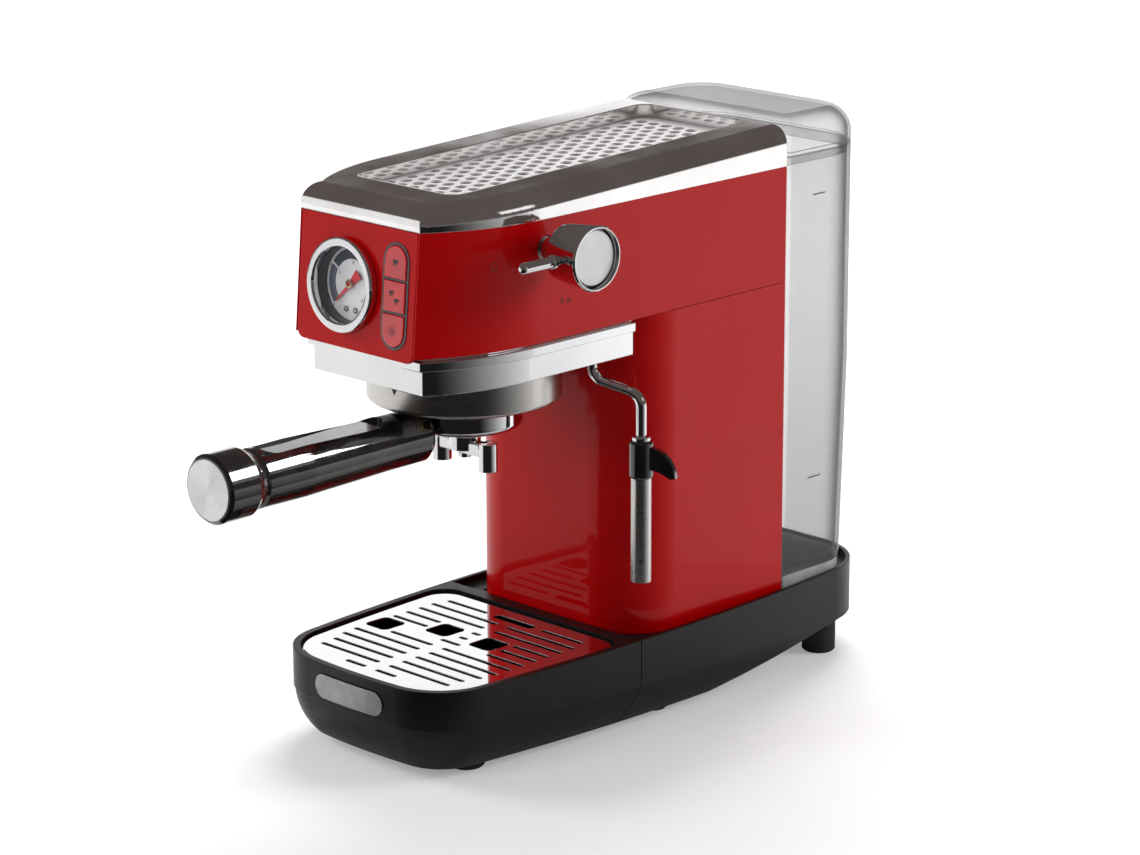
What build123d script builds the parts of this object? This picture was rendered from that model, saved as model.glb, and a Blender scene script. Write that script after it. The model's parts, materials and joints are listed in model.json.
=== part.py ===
from build123d import *
import os
from math import atan, cos, degrees, radians, sin, sqrt, tan

# Slim pump espresso machine. Millimetres, +Z up, front towards -Y, steam knob and wand on +X.
# The origin is on the worktop, under the middle of the foot.

# ---------------------------------------------------------------- driving dimensions
BASE_HALF = 78.0  # half of the foot's widest width
BASE_MID_Y = -8.0  # where the foot is widest
BASE_SIDE_R = 1500.0  # bow of the foot's long sides
BASE_FRONT_Y = -189.0
BASE_FRONT_R = 390.0  # bow of the foot's front edge
BASE_REAR_Y = 178.3
BASE_CORNER_R = 38.0
BASE_REAR_CORNER_R = 46.0
RIM_Z = 53.8  # top rim of the foot
DECK_Z = 50.0  # deck inside the rim
BAND_Z = 26.3  # lower edge of the foot's upright band at the joint of tray and chassis
BAND_TILT = 1.95  # the band grows towards the rear, degrees
UNDER_Z = 5.5  # underside at the front
UNDER_REAR_Z = 22.0  # underside at the rear
UNDER_START_Y = 25.0
UNDER_END_Y = 140.0
BAND_STEP = 0.5  # how far the bowl is set back under the band
BOWL_R = 38.0  # rounding of the bowl under the band
BOWL_LEAN = (4.0, 60.0)  # lean of the bowl's wall at its top and bottom, degrees
BOWL_STEPS = 8
SUMP_TAPER = 30.0  # lean of the tray's inner walls, degrees
SEAM_Y = -38.0  # joint between drip tray and chassis
SEAM_RUN = 11.0  # how far the joint runs forward below the upright band

BODY_HALF = 68.7  # half width of column, head and tank
WALL = 2.4
COLUMN_FRONT_Y = -36.5
COLUMN_CORNER_R = 35.0
BODY_REAR_Y = 90.3
NECK_Z = 236.7  # underside of the head
NOSE_HALF = 46.8  # half width of the flat front
NOSE_STRAIGHT_Y = -108.0  # where the head's curved flanks become straight
PANEL_BOTTOM_Z = 233.7
COVER_Z = 303.8  # lower edge of the top cover
PANEL_LOW_Y = -180.1  # front plane at the panel's bottom edge
PANEL_HIGH_Y = -174.1  # front plane at the cover's edge
LEAN = degrees(atan((PANEL_LOW_Y - PANEL_HIGH_Y) / (PANEL_BOTTOM_Z - COVER_Z)))

TOP_FRONT_Z = 318.2  # top of the cover at the recess's front edge
TOP_REAR_Z = 326.6
RECESS_HALF = 40.2
RECESS_FRONT_Y = -143.0
RECESS_REAR_Y = 87.0
SLOPE = degrees(atan((TOP_REAR_Z - TOP_FRONT_Z) / (RECESS_REAR_Y - RECESS_FRONT_Y)))

COLLAR_LOW_Z = 214.2
COLLAR_HIGH_Z = 228.1
COLLAR_HALF = 60.8
COLLAR_NOSE_HALF = 43.0
COLLAR_FRONT_Y = -170.4
COLLAR_REAR_Y = -27.6

BADGE_Z = 41.2
BADGE_LENGTH = 54.0
BADGE_HEIGHT = 13.8

GROUP_Y = -98.7  # axis of group head, filter holder and spouts
RING_R = 54.2
RING_LOW_Z = 193.7
HOLDER_R = 32.6
HANDLE_Z = 178.0
HANDLE_END_Y = -283.0
SPOUT_X = 18.3

GAUGE_X = -9.5
GAUGE_Z = 268.0
BEZEL_R = 25.8
BUTTON_X = 30.3
BUTTON_HALF_W = 9.9
BUTTON_HALF_H = 28.8

KNOB_Y = -102.9
KNOB_Z = 288.0
KNOB_X = 106.7  # outer face of the knob
KNOB_R = 17.8

WAND_PIVOT_X = 51.0
WAND_PIVOT_Y = -50.0
WAND_X = 78.0
WAND_Y = -39.0
WAND_R = 3.0
SLEEVE_LOW_Z = 89.5

TANK_FRONT_Y = 92.2
TANK_REAR_Y = 166.5
TANK_CORNER_R = 32.0
TANK_LOW_Z = 58.5
TANK_HIGH_Z = 308.0
LID_TOP_Z = 329.8
TANK_WALL = 2.2
TANK_PORT = (-30.0, 112.0)

GAP = 0.3  # seam between neighbouring pieces
SCREW_R = 2.0


# ---------------------------------------------------------------- small helpers
def block(x0, x1, y0, y1, z0, z1):
    """Box between two corners."""
    middle = ((x0 + x1) / 2, (y0 + y1) / 2, (z0 + z1) / 2)
    return Pos(*middle) * Box(x1 - x0, y1 - y0, z1 - z0)


def post(radius, z0, z1, x=0.0, y=0.0):
    """Upright cylinder."""
    return Pos(x, y, (z0 + z1) / 2) * Cylinder(radius, z1 - z0)


def rod(start, end, radius):
    """Round bar between two points."""
    run = Vector(*end) - Vector(*start)
    plane = Plane(origin=start, z_dir=run)
    return plane * Pos(0, 0, run.length / 2) * Cylinder(radius, run.length)


def ring(outer, inner, z0, z1, x=0.0, y=0.0):
    """Upright tube."""
    return post(outer, z0, z1, x, y) - post(inner, z0 - 1, z1 + 1, x, y)


def pipe(points, radius, bend):
    """Round pipe of straight runs and tangent bends."""
    path = FilletPolyline(*points, radius=bend)
    start = Plane(origin=path @ 0, z_dir=path % 0)
    return sweep(start * Circle(radius), path=path)


def raised(face, z0, z1):
    """Upright prism of an outline drawn at z = 0."""
    return extrude(Pos(0, 0, z0) * face, amount=z1 - z0)


def mirrored(solid):
    """The solid and its mirror image on the other side."""
    return solid + mirror(solid, about=Plane.YZ)


def panel_plane(x, z):
    """Plane on the leaning front face, its z axis pointing out of the machine."""
    y = PANEL_LOW_Y + (z - PANEL_BOTTOM_Z) * tan(radians(LEAN))
    out = (0, -cos(radians(LEAN)), sin(radians(LEAN)))
    return Plane(origin=(x, y, z), x_dir=(1, 0, 0), z_dir=out)


# ---------------------------------------------------------------- outlines
def base_face(inset=0.0):
    """Plan of the foot: bowed sides, bowed front and round corners."""
    front_x = BASE_HALF - (BASE_MID_Y - BASE_FRONT_Y) ** 2 / (2 * BASE_SIDE_R)
    front_y = BASE_FRONT_Y + front_x**2 / (2 * BASE_FRONT_R)
    rear_x = BASE_HALF - (BASE_REAR_Y - BASE_MID_Y) ** 2 / (2 * BASE_SIDE_R)
    side = ThreePointArc((front_x, front_y), (BASE_HALF, BASE_MID_Y), (rear_x, BASE_REAR_Y))
    rear = Line((rear_x, BASE_REAR_Y), (-rear_x, BASE_REAR_Y))
    front = ThreePointArc((-front_x, front_y), (0, BASE_FRONT_Y), (front_x, front_y))
    face = make_face([side, rear, mirror(side, about=Plane.YZ), front])
    face = fillet(face.vertices().group_by(Axis.Y)[0], BASE_CORNER_R)
    face = fillet(face.vertices().group_by(Axis.Y)[-1], BASE_REAR_CORNER_R)
    return offset(face, -inset) if inset else face


def nose_face(half, nose_half, nose_y, straight_y, rear_y):
    """Plan of the head: flat nose, flanks in one big arc each, straight sides."""
    flank = TangentArc((half, straight_y), (nose_half, nose_y), tangent=(0, -1))
    side = Line((half, straight_y), (half, rear_y))
    rear = Line((half, rear_y), (-half, rear_y))
    nose = Line((nose_half, nose_y), (-nose_half, nose_y))
    edges = [flank, side, rear, nose, mirror(flank, about=Plane.YZ), mirror(side, about=Plane.YZ)]
    return make_face(edges)


def column_face(inset=0.0, rear_y=BODY_REAR_Y):
    """Plan of the column: flat front with two large round corners."""
    half = BODY_HALF - inset
    front = COLUMN_FRONT_Y + inset
    face = Pos(0, (front + rear_y) / 2) * Rectangle(2 * half, rear_y - front)
    corners = face.vertices().group_by(Axis.Y)[0]
    return fillet(corners, COLUMN_CORNER_R - inset)


def tank_face(half, rear_y, corner, front_y=TANK_FRONT_Y):
    """Plan of the water tank: square at the front, round at the rear."""
    face = Pos(0, (front_y + rear_y) / 2) * Rectangle(2 * half, rear_y - front_y)
    rear = face.vertices().group_by(Axis.Y)[-1]
    face = fillet(rear, corner)
    front = face.vertices().group_by(Axis.Y)[0]
    return fillet(front, 2.5)


# ---------------------------------------------------------------- foot
def base_block(inset=0.0, top=RIM_Z):
    """Foot as one solid: upright band, bowl that leans in below it and rising underside."""
    band = raised(base_face(inset), UNDER_Z - 1, top)
    return (band & bowl(inset)) - underside(0.0)


def bowl(inset):
    """Body that rounds in below the band, tilted so that the band grows towards the rear."""
    solid = raised(base_face(inset - 5), BAND_Z, BAND_Z + 60)
    z = BAND_Z
    inset += BAND_STEP
    turn = (BOWL_LEAN[1] - BOWL_LEAN[0]) / BOWL_STEPS
    for i in range(BOWL_STEPS):
        lean = BOWL_LEAN[0] + turn * (i + 0.5)
        height = BOWL_R * radians(turn) * cos(radians(lean))
        face = Pos(0, 0, z) * base_face(inset)
        solid = solid + extrude(face, amount=height, dir=(0, 0, -1), taper=lean)
        z -= height
        inset += height * tan(radians(lean))
    pivot = Pos(0, SEAM_Y, BAND_Z)
    return pivot * Rot(-BAND_TILT, 0, 0) * Pos(0, -SEAM_Y, -BAND_Z) * solid


def underside(lift):
    """Everything below the underside, lifted by a wall thickness."""
    low = UNDER_Z + lift
    high = UNDER_REAR_Z + lift
    outline = Polyline(
        (-250, low),
        (UNDER_START_Y, low),
        (UNDER_END_Y, high),
        (250, high),
        (250, -60),
        (-250, -60),
        close=True,
    )
    return extrude(Plane.YZ * make_face(outline), amount=120, both=True)


def seam_region(shift):
    """Space in front of the joint between tray and chassis."""
    low_y = SEAM_Y - SEAM_RUN
    outline = Polyline(
        (-300, -20),
        (low_y + shift, -20),
        (low_y + shift, UNDER_Z),
        (SEAM_Y + shift, BAND_Z),
        (SEAM_Y + shift, 80),
        (-300, 80),
        close=True,
    )
    return extrude(Plane.YZ * make_face(outline), amount=120, both=True)


def base_chassis():
    """Rear part of the foot: a tub with its deck up, open below."""
    shell = base_block() - base_block(3.0, DECK_Z - 3.0)
    shell = shell - seam_region(GAP)
    deck_drop = raised(base_face(2.6), DECK_Z, RIM_Z + 1)
    shell = shell - deck_drop
    front_wall = base_block(2.0, DECK_Z) & (seam_region(3.5) - seam_region(GAP))
    shell = shell + front_wall
    well = block(-60, 60, -28, 84, DECK_Z - 10, DECK_Z + 2)
    drain = post(9.5, DECK_Z - 10, DECK_Z + 2, *TANK_PORT)
    gland_hole = Pos(-14, BASE_REAR_Y, 37) * Rot(90, 0, 0) * Cylinder(5.2, 30)
    return shell - well - drain - gland_hole


def base_plate():
    """Sheet that closes the chassis from below and follows its rising underside."""
    inner = base_block(3.3, DECK_Z - 3.3)
    sheet = inner & (underside(2.0) - underside(0.0))
    sheet = sheet - seam_region(3.9)
    for x, y in plate_screw_places():
        sheet = sheet - post(SCREW_R + 0.1, 0, 40, x, y)
    return sheet


def plate_screw_places():
    """Where the base plate is screwed up into the chassis."""
    return [(x, y) for x in (-44, 44) for y in (18, 108)]


def back_screw_places():
    """Where the back panel is screwed to the shells."""
    return [(x, z) for x in (-52, 52) for z in (80, 285)]


def housing_screws():
    """Pan head screws of base plate and back panel."""
    screws = []
    for x, y in plate_screw_places():
        floor = UNDER_Z + 2.0
        if y > UNDER_START_Y:
            floor += (y - UNDER_START_Y) * (UNDER_REAR_Z - UNDER_Z) / (UNDER_END_Y - UNDER_START_Y)
        shank = post(SCREW_R, floor - 3.2, floor + 9, x, y)
        screws.append(shank + post(3.6, floor - 5.6, floor - 3.2, x, y))
    for x, z in back_screw_places():
        shank = rod((x, BODY_REAR_Y - 12, z), (x, BODY_REAR_Y, z), SCREW_R)
        screws.append(shank + rod((x, BODY_REAR_Y, z), (x, BODY_REAR_Y + 1.4, z), 3.4))
    return Compound(children=screws)


def middle_feet():
    """Two low rubber feet under the chassis."""
    foot = post(9.0, 0, UNDER_Z, 53.8, -4.0)
    foot = chamfer(foot.edges().group_by(Axis.Z)[0], 1.2)
    return mirrored(foot)


def rear_feet():
    """Two tall rubber feet under the raised rear."""
    foot = post(10.0, 0, 40, 56.3, 139.0)
    foot = chamfer(foot.edges().group_by(Axis.Z)[0], 1.2)
    foot = (foot - base_block()) & block(0, 90, 100, 170, -1, UNDER_REAR_Z + 0.01)
    return mirrored(foot)


def mains_gland():
    """Cord inlet in the chassis's rear wall: flange outside, neck inside."""
    flange = rod((-14, BASE_REAR_Y, 37), (-14, BASE_REAR_Y + 3, 37), 8.5)
    neck = rod((-14, BASE_REAR_Y - 9, 37), (-14, BASE_REAR_Y, 37), 5.0)
    bore = rod((-14, BASE_REAR_Y - 10, 37), (-14, BASE_REAR_Y + 4, 37), 3.2)
    return flange + neck - bore


# ---------------------------------------------------------------- drip tray
TRAY_FLOOR_Z = 9.0
GRILLE_Z = 49.9  # underside of the grille
GRILLE_THICK = 2.4
GRILLE_REAR_Y = -47.0
GRILLE_INSET = 4.6
GRILLE_ROLL = 1.9  # rounding of the grille's outer edge
SLOT_PITCH = 10.05
SLOT_FRONT_Y = -171.8
SLOT_HALF = 1.4
SLOT_INNER = 4.2  # slots start this far from the middle line
SLOT_OUTER = 57.4
HOLE_X = 17.7  # drain holes under the two spouts
HOLE_Y = -98.9
HOLE_SIZE = 17.4
FLOAT_X = -50.5
FLOAT_Y = -114.5


def grille_face(inset):
    """Plan of the grille: the foot's nose with a straight rear edge."""
    nose = base_face(inset)
    cut = Pos(0, GRILLE_REAR_Y + 200 + (GRILLE_INSET - inset)) * Rectangle(400, 400)
    face = nose - cut
    rear = face.vertices().group_by(Axis.Y)[-1]
    return fillet(rear, 14.0)


def drip_tray():
    """Front part of the foot: an open tub with a ledge for the grille."""
    shell = base_block() & seam_region(-GAP)
    ledge = raised(grille_face(GRILLE_INSET - 0.4), GRILLE_Z, RIM_Z + 1)
    tub = raised(grille_face(GRILLE_INSET + 3.0), BAND_Z, RIM_Z + 1)
    sump = extrude(
        Pos(0, 0, BAND_Z) * grille_face(GRILLE_INSET + 3.0),
        amount=BAND_Z - TRAY_FLOOR_Z,
        dir=(0, 0, -1),
        taper=SUMP_TAPER,
    )
    badge_seat = badge_plate(0.2, -0.9, 1.2)
    tray = shell - ledge - tub - sump - badge_seat
    guide = ring(7.0, 5.5, TRAY_FLOOR_Z - 1, 24, FLOAT_X, FLOAT_Y)
    pedestal = post(3.0, TRAY_FLOOR_Z - 1, TRAY_FLOOR_Z + 3, FLOAT_X, FLOAT_Y)
    return tray + guide + pedestal


def tray_feet():
    """Two rubber feet under the drip tray."""
    foot = post(10.0, 0, UNDER_Z, 45.0, -143.0)
    foot = chamfer(foot.edges().group_by(Axis.Z)[0], 1.2)
    return mirrored(foot)


def badge_plate(grow, front, back):
    """Stadium that follows the tray's bow, between two insets from its front."""
    outline = SlotOverall(BADGE_LENGTH + 2 * grow, BADGE_HEIGHT + 2 * grow)
    plane = Plane(origin=(0, BASE_FRONT_Y - 5, BADGE_Z), x_dir=(1, 0, 0), z_dir=(0, 1, 0))
    prism = extrude(plane * outline, amount=20)
    return prism & (base_block(front) - base_block(back))


def tray_badge():
    """Blank badge plate on the tray's front."""
    return badge_plate(0, -0.8, 1.2)


def slot_rows():
    """Slots of one half of the grille, as (y, from, to), before mirroring."""
    rows = []
    for i in range(12):
        y = SLOT_FRONT_Y + i * SLOT_PITCH
        inner, outer = SLOT_INNER, SLOT_OUTER
        if i == 0:
            outer = 20.0
        elif i < 4:
            outer = (51.5, 52.5, 56.0)[i - 1]
        elif i in (6, 7, 8):
            inner = 29.5
        elif i == 11:
            inner, outer = 22.0, 54.5
        rows.append((y, inner, outer))
    return rows


def drip_grille():
    """Polished grille: two columns of slots, three square holes and one wide slot."""
    plate = raised(grille_face(GRILLE_INSET), GRILLE_Z, GRILLE_Z + GRILLE_THICK)
    plate = fillet(plate.edges().group_by(Axis.Z)[-1], GRILLE_ROLL)
    cuts = []
    for y, inner, outer in slot_rows():
        for side in (-1, 1):
            near_float = side < 0 and abs(y - FLOAT_Y) < 9
            start = inner
            stop = outer
            if near_float:
                start, stop = (SLOT_INNER, 38.0) if abs(y - FLOAT_Y) > 6 else (0, 0)
            if stop > start:
                slot = SlotOverall(stop - start, 2 * SLOT_HALF)
                cuts.append(Pos(side * (start + stop) / 2, y) * slot)
    for y, half in ((SLOT_FRONT_Y + 6 * SLOT_PITCH, 7.6), (SLOT_FRONT_Y + 7 * SLOT_PITCH, 3.0)):
        cuts.append(Pos(0, y) * SlotOverall(2 * half, 2 * SLOT_HALF))
    cuts.append(Pos(0, SLOT_FRONT_Y + 8 * SLOT_PITCH) * SlotOverall(6.6, 2 * SLOT_HALF))
    cuts.append(Pos(0, SLOT_FRONT_Y + 11 * SLOT_PITCH) * SlotOverall(31, 5.6))
    for x, y in ((-HOLE_X, HOLE_Y), (HOLE_X, HOLE_Y), (FLOAT_X, FLOAT_Y)):
        cuts.append(Pos(x, y) * RectangleRounded(HOLE_SIZE, HOLE_SIZE, 3.6))
    holes = extrude(Pos(0, 0, GRILLE_Z - 1) * Sketch(children=cuts), amount=GRILLE_THICK + 2)
    return plate - holes


def overflow_float():
    """Float that shows at the square hole when the tray is full."""
    stem = post(4.2, 21, GRILLE_Z - 4, FLOAT_X, FLOAT_Y)
    bulb = post(5.1, TRAY_FLOOR_Z + 3.1, 21, FLOAT_X, FLOAT_Y)
    return fillet((bulb + stem).edges().group_by(Axis.Z)[-1], 1.5)


# ---------------------------------------------------------------- column and head
def column_shell():
    """Red column: front and sides in one bent sheet, open below, above and behind."""
    outer = raised(column_face(), DECK_Z, NECK_Z - GAP)
    inner = raised(column_face(WALL, BODY_REAR_Y + 5), DECK_Z - 1, NECK_Z + 1)
    return outer - inner


def head_block(inset, z0, z1):
    """Head as one solid, its front leaning back, shrunk by a wall thickness."""
    faces = []
    for z in (z0, z1):
        y = panel_plane(0, z).origin.Y
        face = nose_face(
            BODY_HALF - inset,
            NOSE_HALF - inset * 0.5,
            y + inset,
            NOSE_STRAIGHT_Y,
            BODY_REAR_Y + inset,
        )
        faces.append(Pos(0, 0, z) * face)
    return loft(faces, ruled=True)


def head_shell():
    """Red head: flanks, sides and underside, open in front, above and behind."""
    shell = head_block(0, NECK_Z, COVER_Z) - head_block(WALL, NECK_Z + WALL, COVER_Z + 5)
    behind = raised(column_face(WALL, BODY_REAR_Y + 5), NECK_Z - 1, NECK_Z + WALL + 1)
    opening = panel_slab(NOSE_HALF - 0.8, WALL + 0.6, NECK_Z - 10, COVER_Z + 5)
    group_hole = post(34.0, NECK_Z - 1, NECK_Z + WALL + 1, 0, GROUP_Y)
    wand_hole = post(4.5, NECK_Z - 1, NECK_Z + WALL + 1, WAND_PIVOT_X, WAND_PIVOT_Y)
    knob_hole = rod((BODY_HALF - 6, KNOB_Y, KNOB_Z), (BODY_HALF + 4, KNOB_Y, KNOB_Z), 6.8)
    frame_room = panel_plane(BUTTON_X, GAUGE_Z) * button_stadium(0.6, 44)
    return shell - behind - opening - group_hole - wand_hole - knob_hole - frame_room


def panel_slab(half, thick, z0, z1):
    """Slab behind the leaning front plane."""
    middle = panel_plane(0, (z0 + z1) / 2)
    height = (z1 - z0) / cos(radians(LEAN))
    return middle * Pos(0, 0, -thick / 2) * Box(2 * half, height, thick)


def front_panel():
    """Red front panel with holes for the gauge and the button frame."""
    middle = panel_plane(0, (PANEL_BOTTOM_Z + COVER_Z - GAP) / 2)
    height = (COVER_Z - GAP - PANEL_BOTTOM_Z) / cos(radians(LEAN))
    face = Rectangle(2 * (NOSE_HALF - 1.1), height)
    low = face.vertices().group_by(Axis.Y)[0]
    face = fillet(low, 5.0)
    panel = extrude(middle * face, amount=-WALL)
    panel = fillet(panel.faces().sort_by(Axis.Y)[0].edges(), 0.5)
    gauge = panel_plane(GAUGE_X, GAUGE_Z) * Cylinder(23.6, 20)
    stadium = panel_plane(BUTTON_X, GAUGE_Z) * button_stadium(0.05, 20)
    return panel - gauge - stadium


def button_stadium(grow, depth):
    """Upright stadium prism about its own middle."""
    width = 2 * (BUTTON_HALF_W + grow)
    height = 2 * (BUTTON_HALF_H + grow)
    face = Rot(0, 0, 90) * SlotOverall(height, width)
    return extrude(face, amount=depth / 2, both=True)


def back_panel():
    """Black panel that closes column and head behind."""
    half = BODY_HALF - WALL - GAP
    panel = block(-half, half, BODY_REAR_Y - 2.4, BODY_REAR_Y, DECK_Z, COVER_Z - GAP)
    for x, z in back_screw_places():
        panel = panel - rod((x, BODY_REAR_Y - 4, z), (x, BODY_REAR_Y + 2, z), SCREW_R + 0.1)
    return panel


# ---------------------------------------------------------------- top cover
def cover_block(inset):
    """Cover as one solid: upright edge, sloping top and a large round shoulder."""
    y = PANEL_HIGH_Y + inset
    face = nose_face(
        BODY_HALF - inset, NOSE_HALF - inset * 0.5, y, NOSE_STRAIGHT_Y, BODY_REAR_Y - inset
    )
    solid = raised(face, COVER_Z - (1 if inset else 0), 345)
    top = Plane(
        origin=(0, RECESS_FRONT_Y, TOP_FRONT_Z - inset),
        x_dir=(1, 0, 0),
        z_dir=(0, -sin(radians(SLOPE)), cos(radians(SLOPE))),
    )
    solid = split(solid, bisect_by=top, keep=Keep.BOTTOM)
    shoulder = solid.faces().sort_by(Axis.Z)[-1].edges()
    round_edges = [e for e in shoulder if e.center().Y < BODY_REAR_Y - inset - 1]
    return fillet(round_edges, 10.8 - inset * 0.6)


def recess_block(grow, depth):
    """Pocket for the cup plate, following the sloping top."""
    top = recess_plane(0)
    length = (RECESS_REAR_Y - RECESS_FRONT_Y) / cos(radians(SLOPE))
    face = RectangleRounded(2 * (RECESS_HALF + grow), length + 2 * grow, 9.0 + grow)
    return extrude(top * face, amount=-depth) + extrude(top * face, amount=20)


def recess_plane(drop):
    """Plane along the sloping top, below it by a drop, centred on the recess."""
    out = Vector(0, -sin(radians(SLOPE)), cos(radians(SLOPE)))
    middle = Vector(0, (RECESS_FRONT_Y + RECESS_REAR_Y) / 2, (TOP_FRONT_Z + TOP_REAR_Z) / 2)
    return Plane(origin=middle - out * drop, x_dir=(1, 0, 0), z_dir=out)


RECESS_DEPTH = 12.0
PLATE_DROP = 7.5  # top of the cup plate below the rim


def top_cover():
    """Chrome cover: a shell with a sunk tray for cups."""
    hollow = cover_block(2.0) - recess_block(2.0, RECESS_DEPTH + 1.8)
    cover = cover_block(0.0) - hollow - recess_block(0.0, RECESS_DEPTH)
    return cover


def cup_plate():
    """Perforated steel plate that cups are warmed on."""
    length = (RECESS_REAR_Y - RECESS_FRONT_Y) / cos(radians(SLOPE))
    plate = RectangleRounded(2 * RECESS_HALF - 0.8, length - 0.8, 8.6)
    pitch = 9.8
    row = pitch * sqrt(3) / 2
    holes = []
    for i in range(-12, 13):
        shift = pitch / 2 if i % 2 else 0
        for j in range(-4, 5):
            x = j * pitch + shift
            if abs(x) < RECESS_HALF - 4.4:
                holes.append(Pos(x, i * row) * Circle(3.5))
    face = plate - Sketch(children=holes)
    sheet = extrude(recess_plane(PLATE_DROP) * face, amount=-1.2)
    skirt = plate - offset(plate, -1.4)
    return sheet + extrude(recess_plane(PLATE_DROP) * skirt, amount=-(RECESS_DEPTH - PLATE_DROP))


# ---------------------------------------------------------------- collar and group
def collar_face(inset):
    """Plan of the chrome collar under the head."""
    face = nose_face(
        COLLAR_HALF - inset,
        COLLAR_NOSE_HALF - inset * 0.5,
        COLLAR_FRONT_Y + inset,
        NOSE_STRAIGHT_Y,
        COLLAR_REAR_Y - inset,
    )
    return face - column_face(-(GAP + inset))


def collar_bar():
    """Chrome collar: a tray with its opening up."""
    bar = raised(collar_face(0), COLLAR_LOW_Z, COLLAR_HIGH_Z)
    bar = bar - raised(collar_face(2.4), COLLAR_LOW_Z + 2.2, COLLAR_HIGH_Z + 1)
    bar = bar - post(38.0, COLLAR_LOW_Z - 1, COLLAR_LOW_Z + 4, 0, GROUP_Y)
    return bar - post(4.6, COLLAR_LOW_Z - 1, COLLAR_LOW_Z + 4, WAND_PIVOT_X, WAND_PIVOT_Y)


def collar_trim():
    """Thin chrome step between collar and head."""
    face = nose_face(64.6, 44.6, -173.6, NOSE_STRAIGHT_Y, COLLAR_REAR_Y - 2.0)
    trim = raised(face - column_face(-GAP), COLLAR_HIGH_Z + GAP, NECK_Z - 3.4)
    trim = trim + raised(collar_face(0.6) - column_face(-GAP - 0.6), NECK_Z - 3.4, NECK_Z - 0.1)
    trim = trim - post(38.0, COLLAR_HIGH_Z - 1, NECK_Z + 1, 0, GROUP_Y)
    trim = trim - post(9.0, COLLAR_HIGH_Z - 1, NECK_Z + 1, WAND_PIVOT_X, WAND_PIVOT_Y)
    return trim - panel_slab(60, WALL + 0.4, PANEL_BOTTOM_Z - 1, NECK_Z + 6)


def group_ring():
    """Brushed steel skirt around the group head."""
    skirt = post(RING_R, RING_LOW_Z, COLLAR_LOW_Z - 0.1, 0, GROUP_Y)
    skirt = fillet(skirt.edges().group_by(Axis.Z)[0], 2.6)
    skirt = skirt - post(RING_R - 2.0, RING_LOW_Z + 2.0, COLLAR_LOW_Z + 1, 0, GROUP_Y)
    return skirt - post(42.5, RING_LOW_Z - 1, RING_LOW_Z + 4, 0, GROUP_Y)


LUG_LOW_Z = 199.0
LUG_HIGH_Z = 203.0
FLANGE_R = 34.2


def group_head():
    """Group head: bell with a bayonet flange that has two entry gaps."""
    bell = post(42.0, RING_LOW_Z + 1.0, COLLAR_LOW_Z - 0.2, 0, GROUP_Y)
    neck = post(33.4, COLLAR_LOW_Z - 1.0, NECK_Z + 5.0, 0, GROUP_Y)
    chamber = post(39.4, LUG_LOW_Z - 0.4, 212.4, 0, GROUP_Y)
    mouth = post(FLANGE_R, RING_LOW_Z - 1, LUG_LOW_Z, 0, GROUP_Y)
    head = bell + neck - chamber - mouth
    gap = sector(39.1, 46, RING_LOW_Z - 1, LUG_LOW_Z + 0.2)
    for turn in (-45, 135):
        head = head - Pos(0, GROUP_Y, 0) * Rot(0, 0, turn) * gap
    return head


def sector(radius, spread, z0, z1):
    """Upright wedge of a cylinder, centred on +X."""
    half = radians(spread / 2)
    reach = radius * 2
    tri = Polyline((0, 0), (reach, -reach * tan(half)), (reach, reach * tan(half)), close=True)
    return raised(make_face(tri), z0, z1) & post(radius, z0, z1)


def group_seal():
    """Rubber seal that the filter basket's rim is pressed against."""
    return ring(38.6, 29.0, 206.6, 212.2, 0, GROUP_Y)


def shower_screen():
    """Perforated screen that spreads the water over the coffee."""
    face = Circle(27.6) - [Circle(4.0)]
    holes = [loc * Circle(0.9) for loc in PolarLocations(12, 12)]
    holes += [loc * Circle(0.9) for loc in PolarLocations(19, 18)]
    face = face - Sketch(children=holes)
    dish = extrude(Pos(0, GROUP_Y, 206.8) * face, amount=1.0)
    skirt = ring(28.6, 27.4, 206.8, 212.2, 0, GROUP_Y)
    boss = post(5.0, 206.0, 212.3, 0, GROUP_Y)
    return dish + skirt + boss


# ---------------------------------------------------------------- filter holder
def filter_holder():
    """Chrome cup with two bayonet lugs, a drain and a stub for the handle."""
    cup = post(HOLDER_R, 177.0, 204.0, 0, GROUP_Y)
    cup = fillet(cup.edges().group_by(Axis.Z)[0], 4.0)
    lug = sector(37.6, 30, LUG_LOW_Z, LUG_HIGH_Z)
    for turn in (0, 180):
        cup = cup + Pos(0, GROUP_Y, 0) * Rot(0, 0, turn) * lug
    cup = cup - post(29.6, 181.0, 206.0, 0, GROUP_Y)
    funnel = post(9.0, 171.4, 178.0, 0, GROUP_Y) - post(3.4, 170.0, 182.0, 0, GROUP_Y)
    stub = rod((0, GROUP_Y - HOLDER_R + 2.5, 187.0 - 3.4), (0, -140.0, 187.0 - 3.4), 5.2)
    cup = cup + funnel - post(3.4, 170, 182, 0, GROUP_Y)
    return cup + stub


def filter_basket():
    """Thin steel filter basket that hangs in the holder."""
    basket = post(29.2, 182.6, 205.4, 0, GROUP_Y)
    basket = fillet(basket.edges().group_by(Axis.Z)[0], 2.0)
    rim = post(32.4, 204.2, 205.4, 0, GROUP_Y)
    return basket + rim - post(28.2, 183.6, 206, 0, GROUP_Y)


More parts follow.
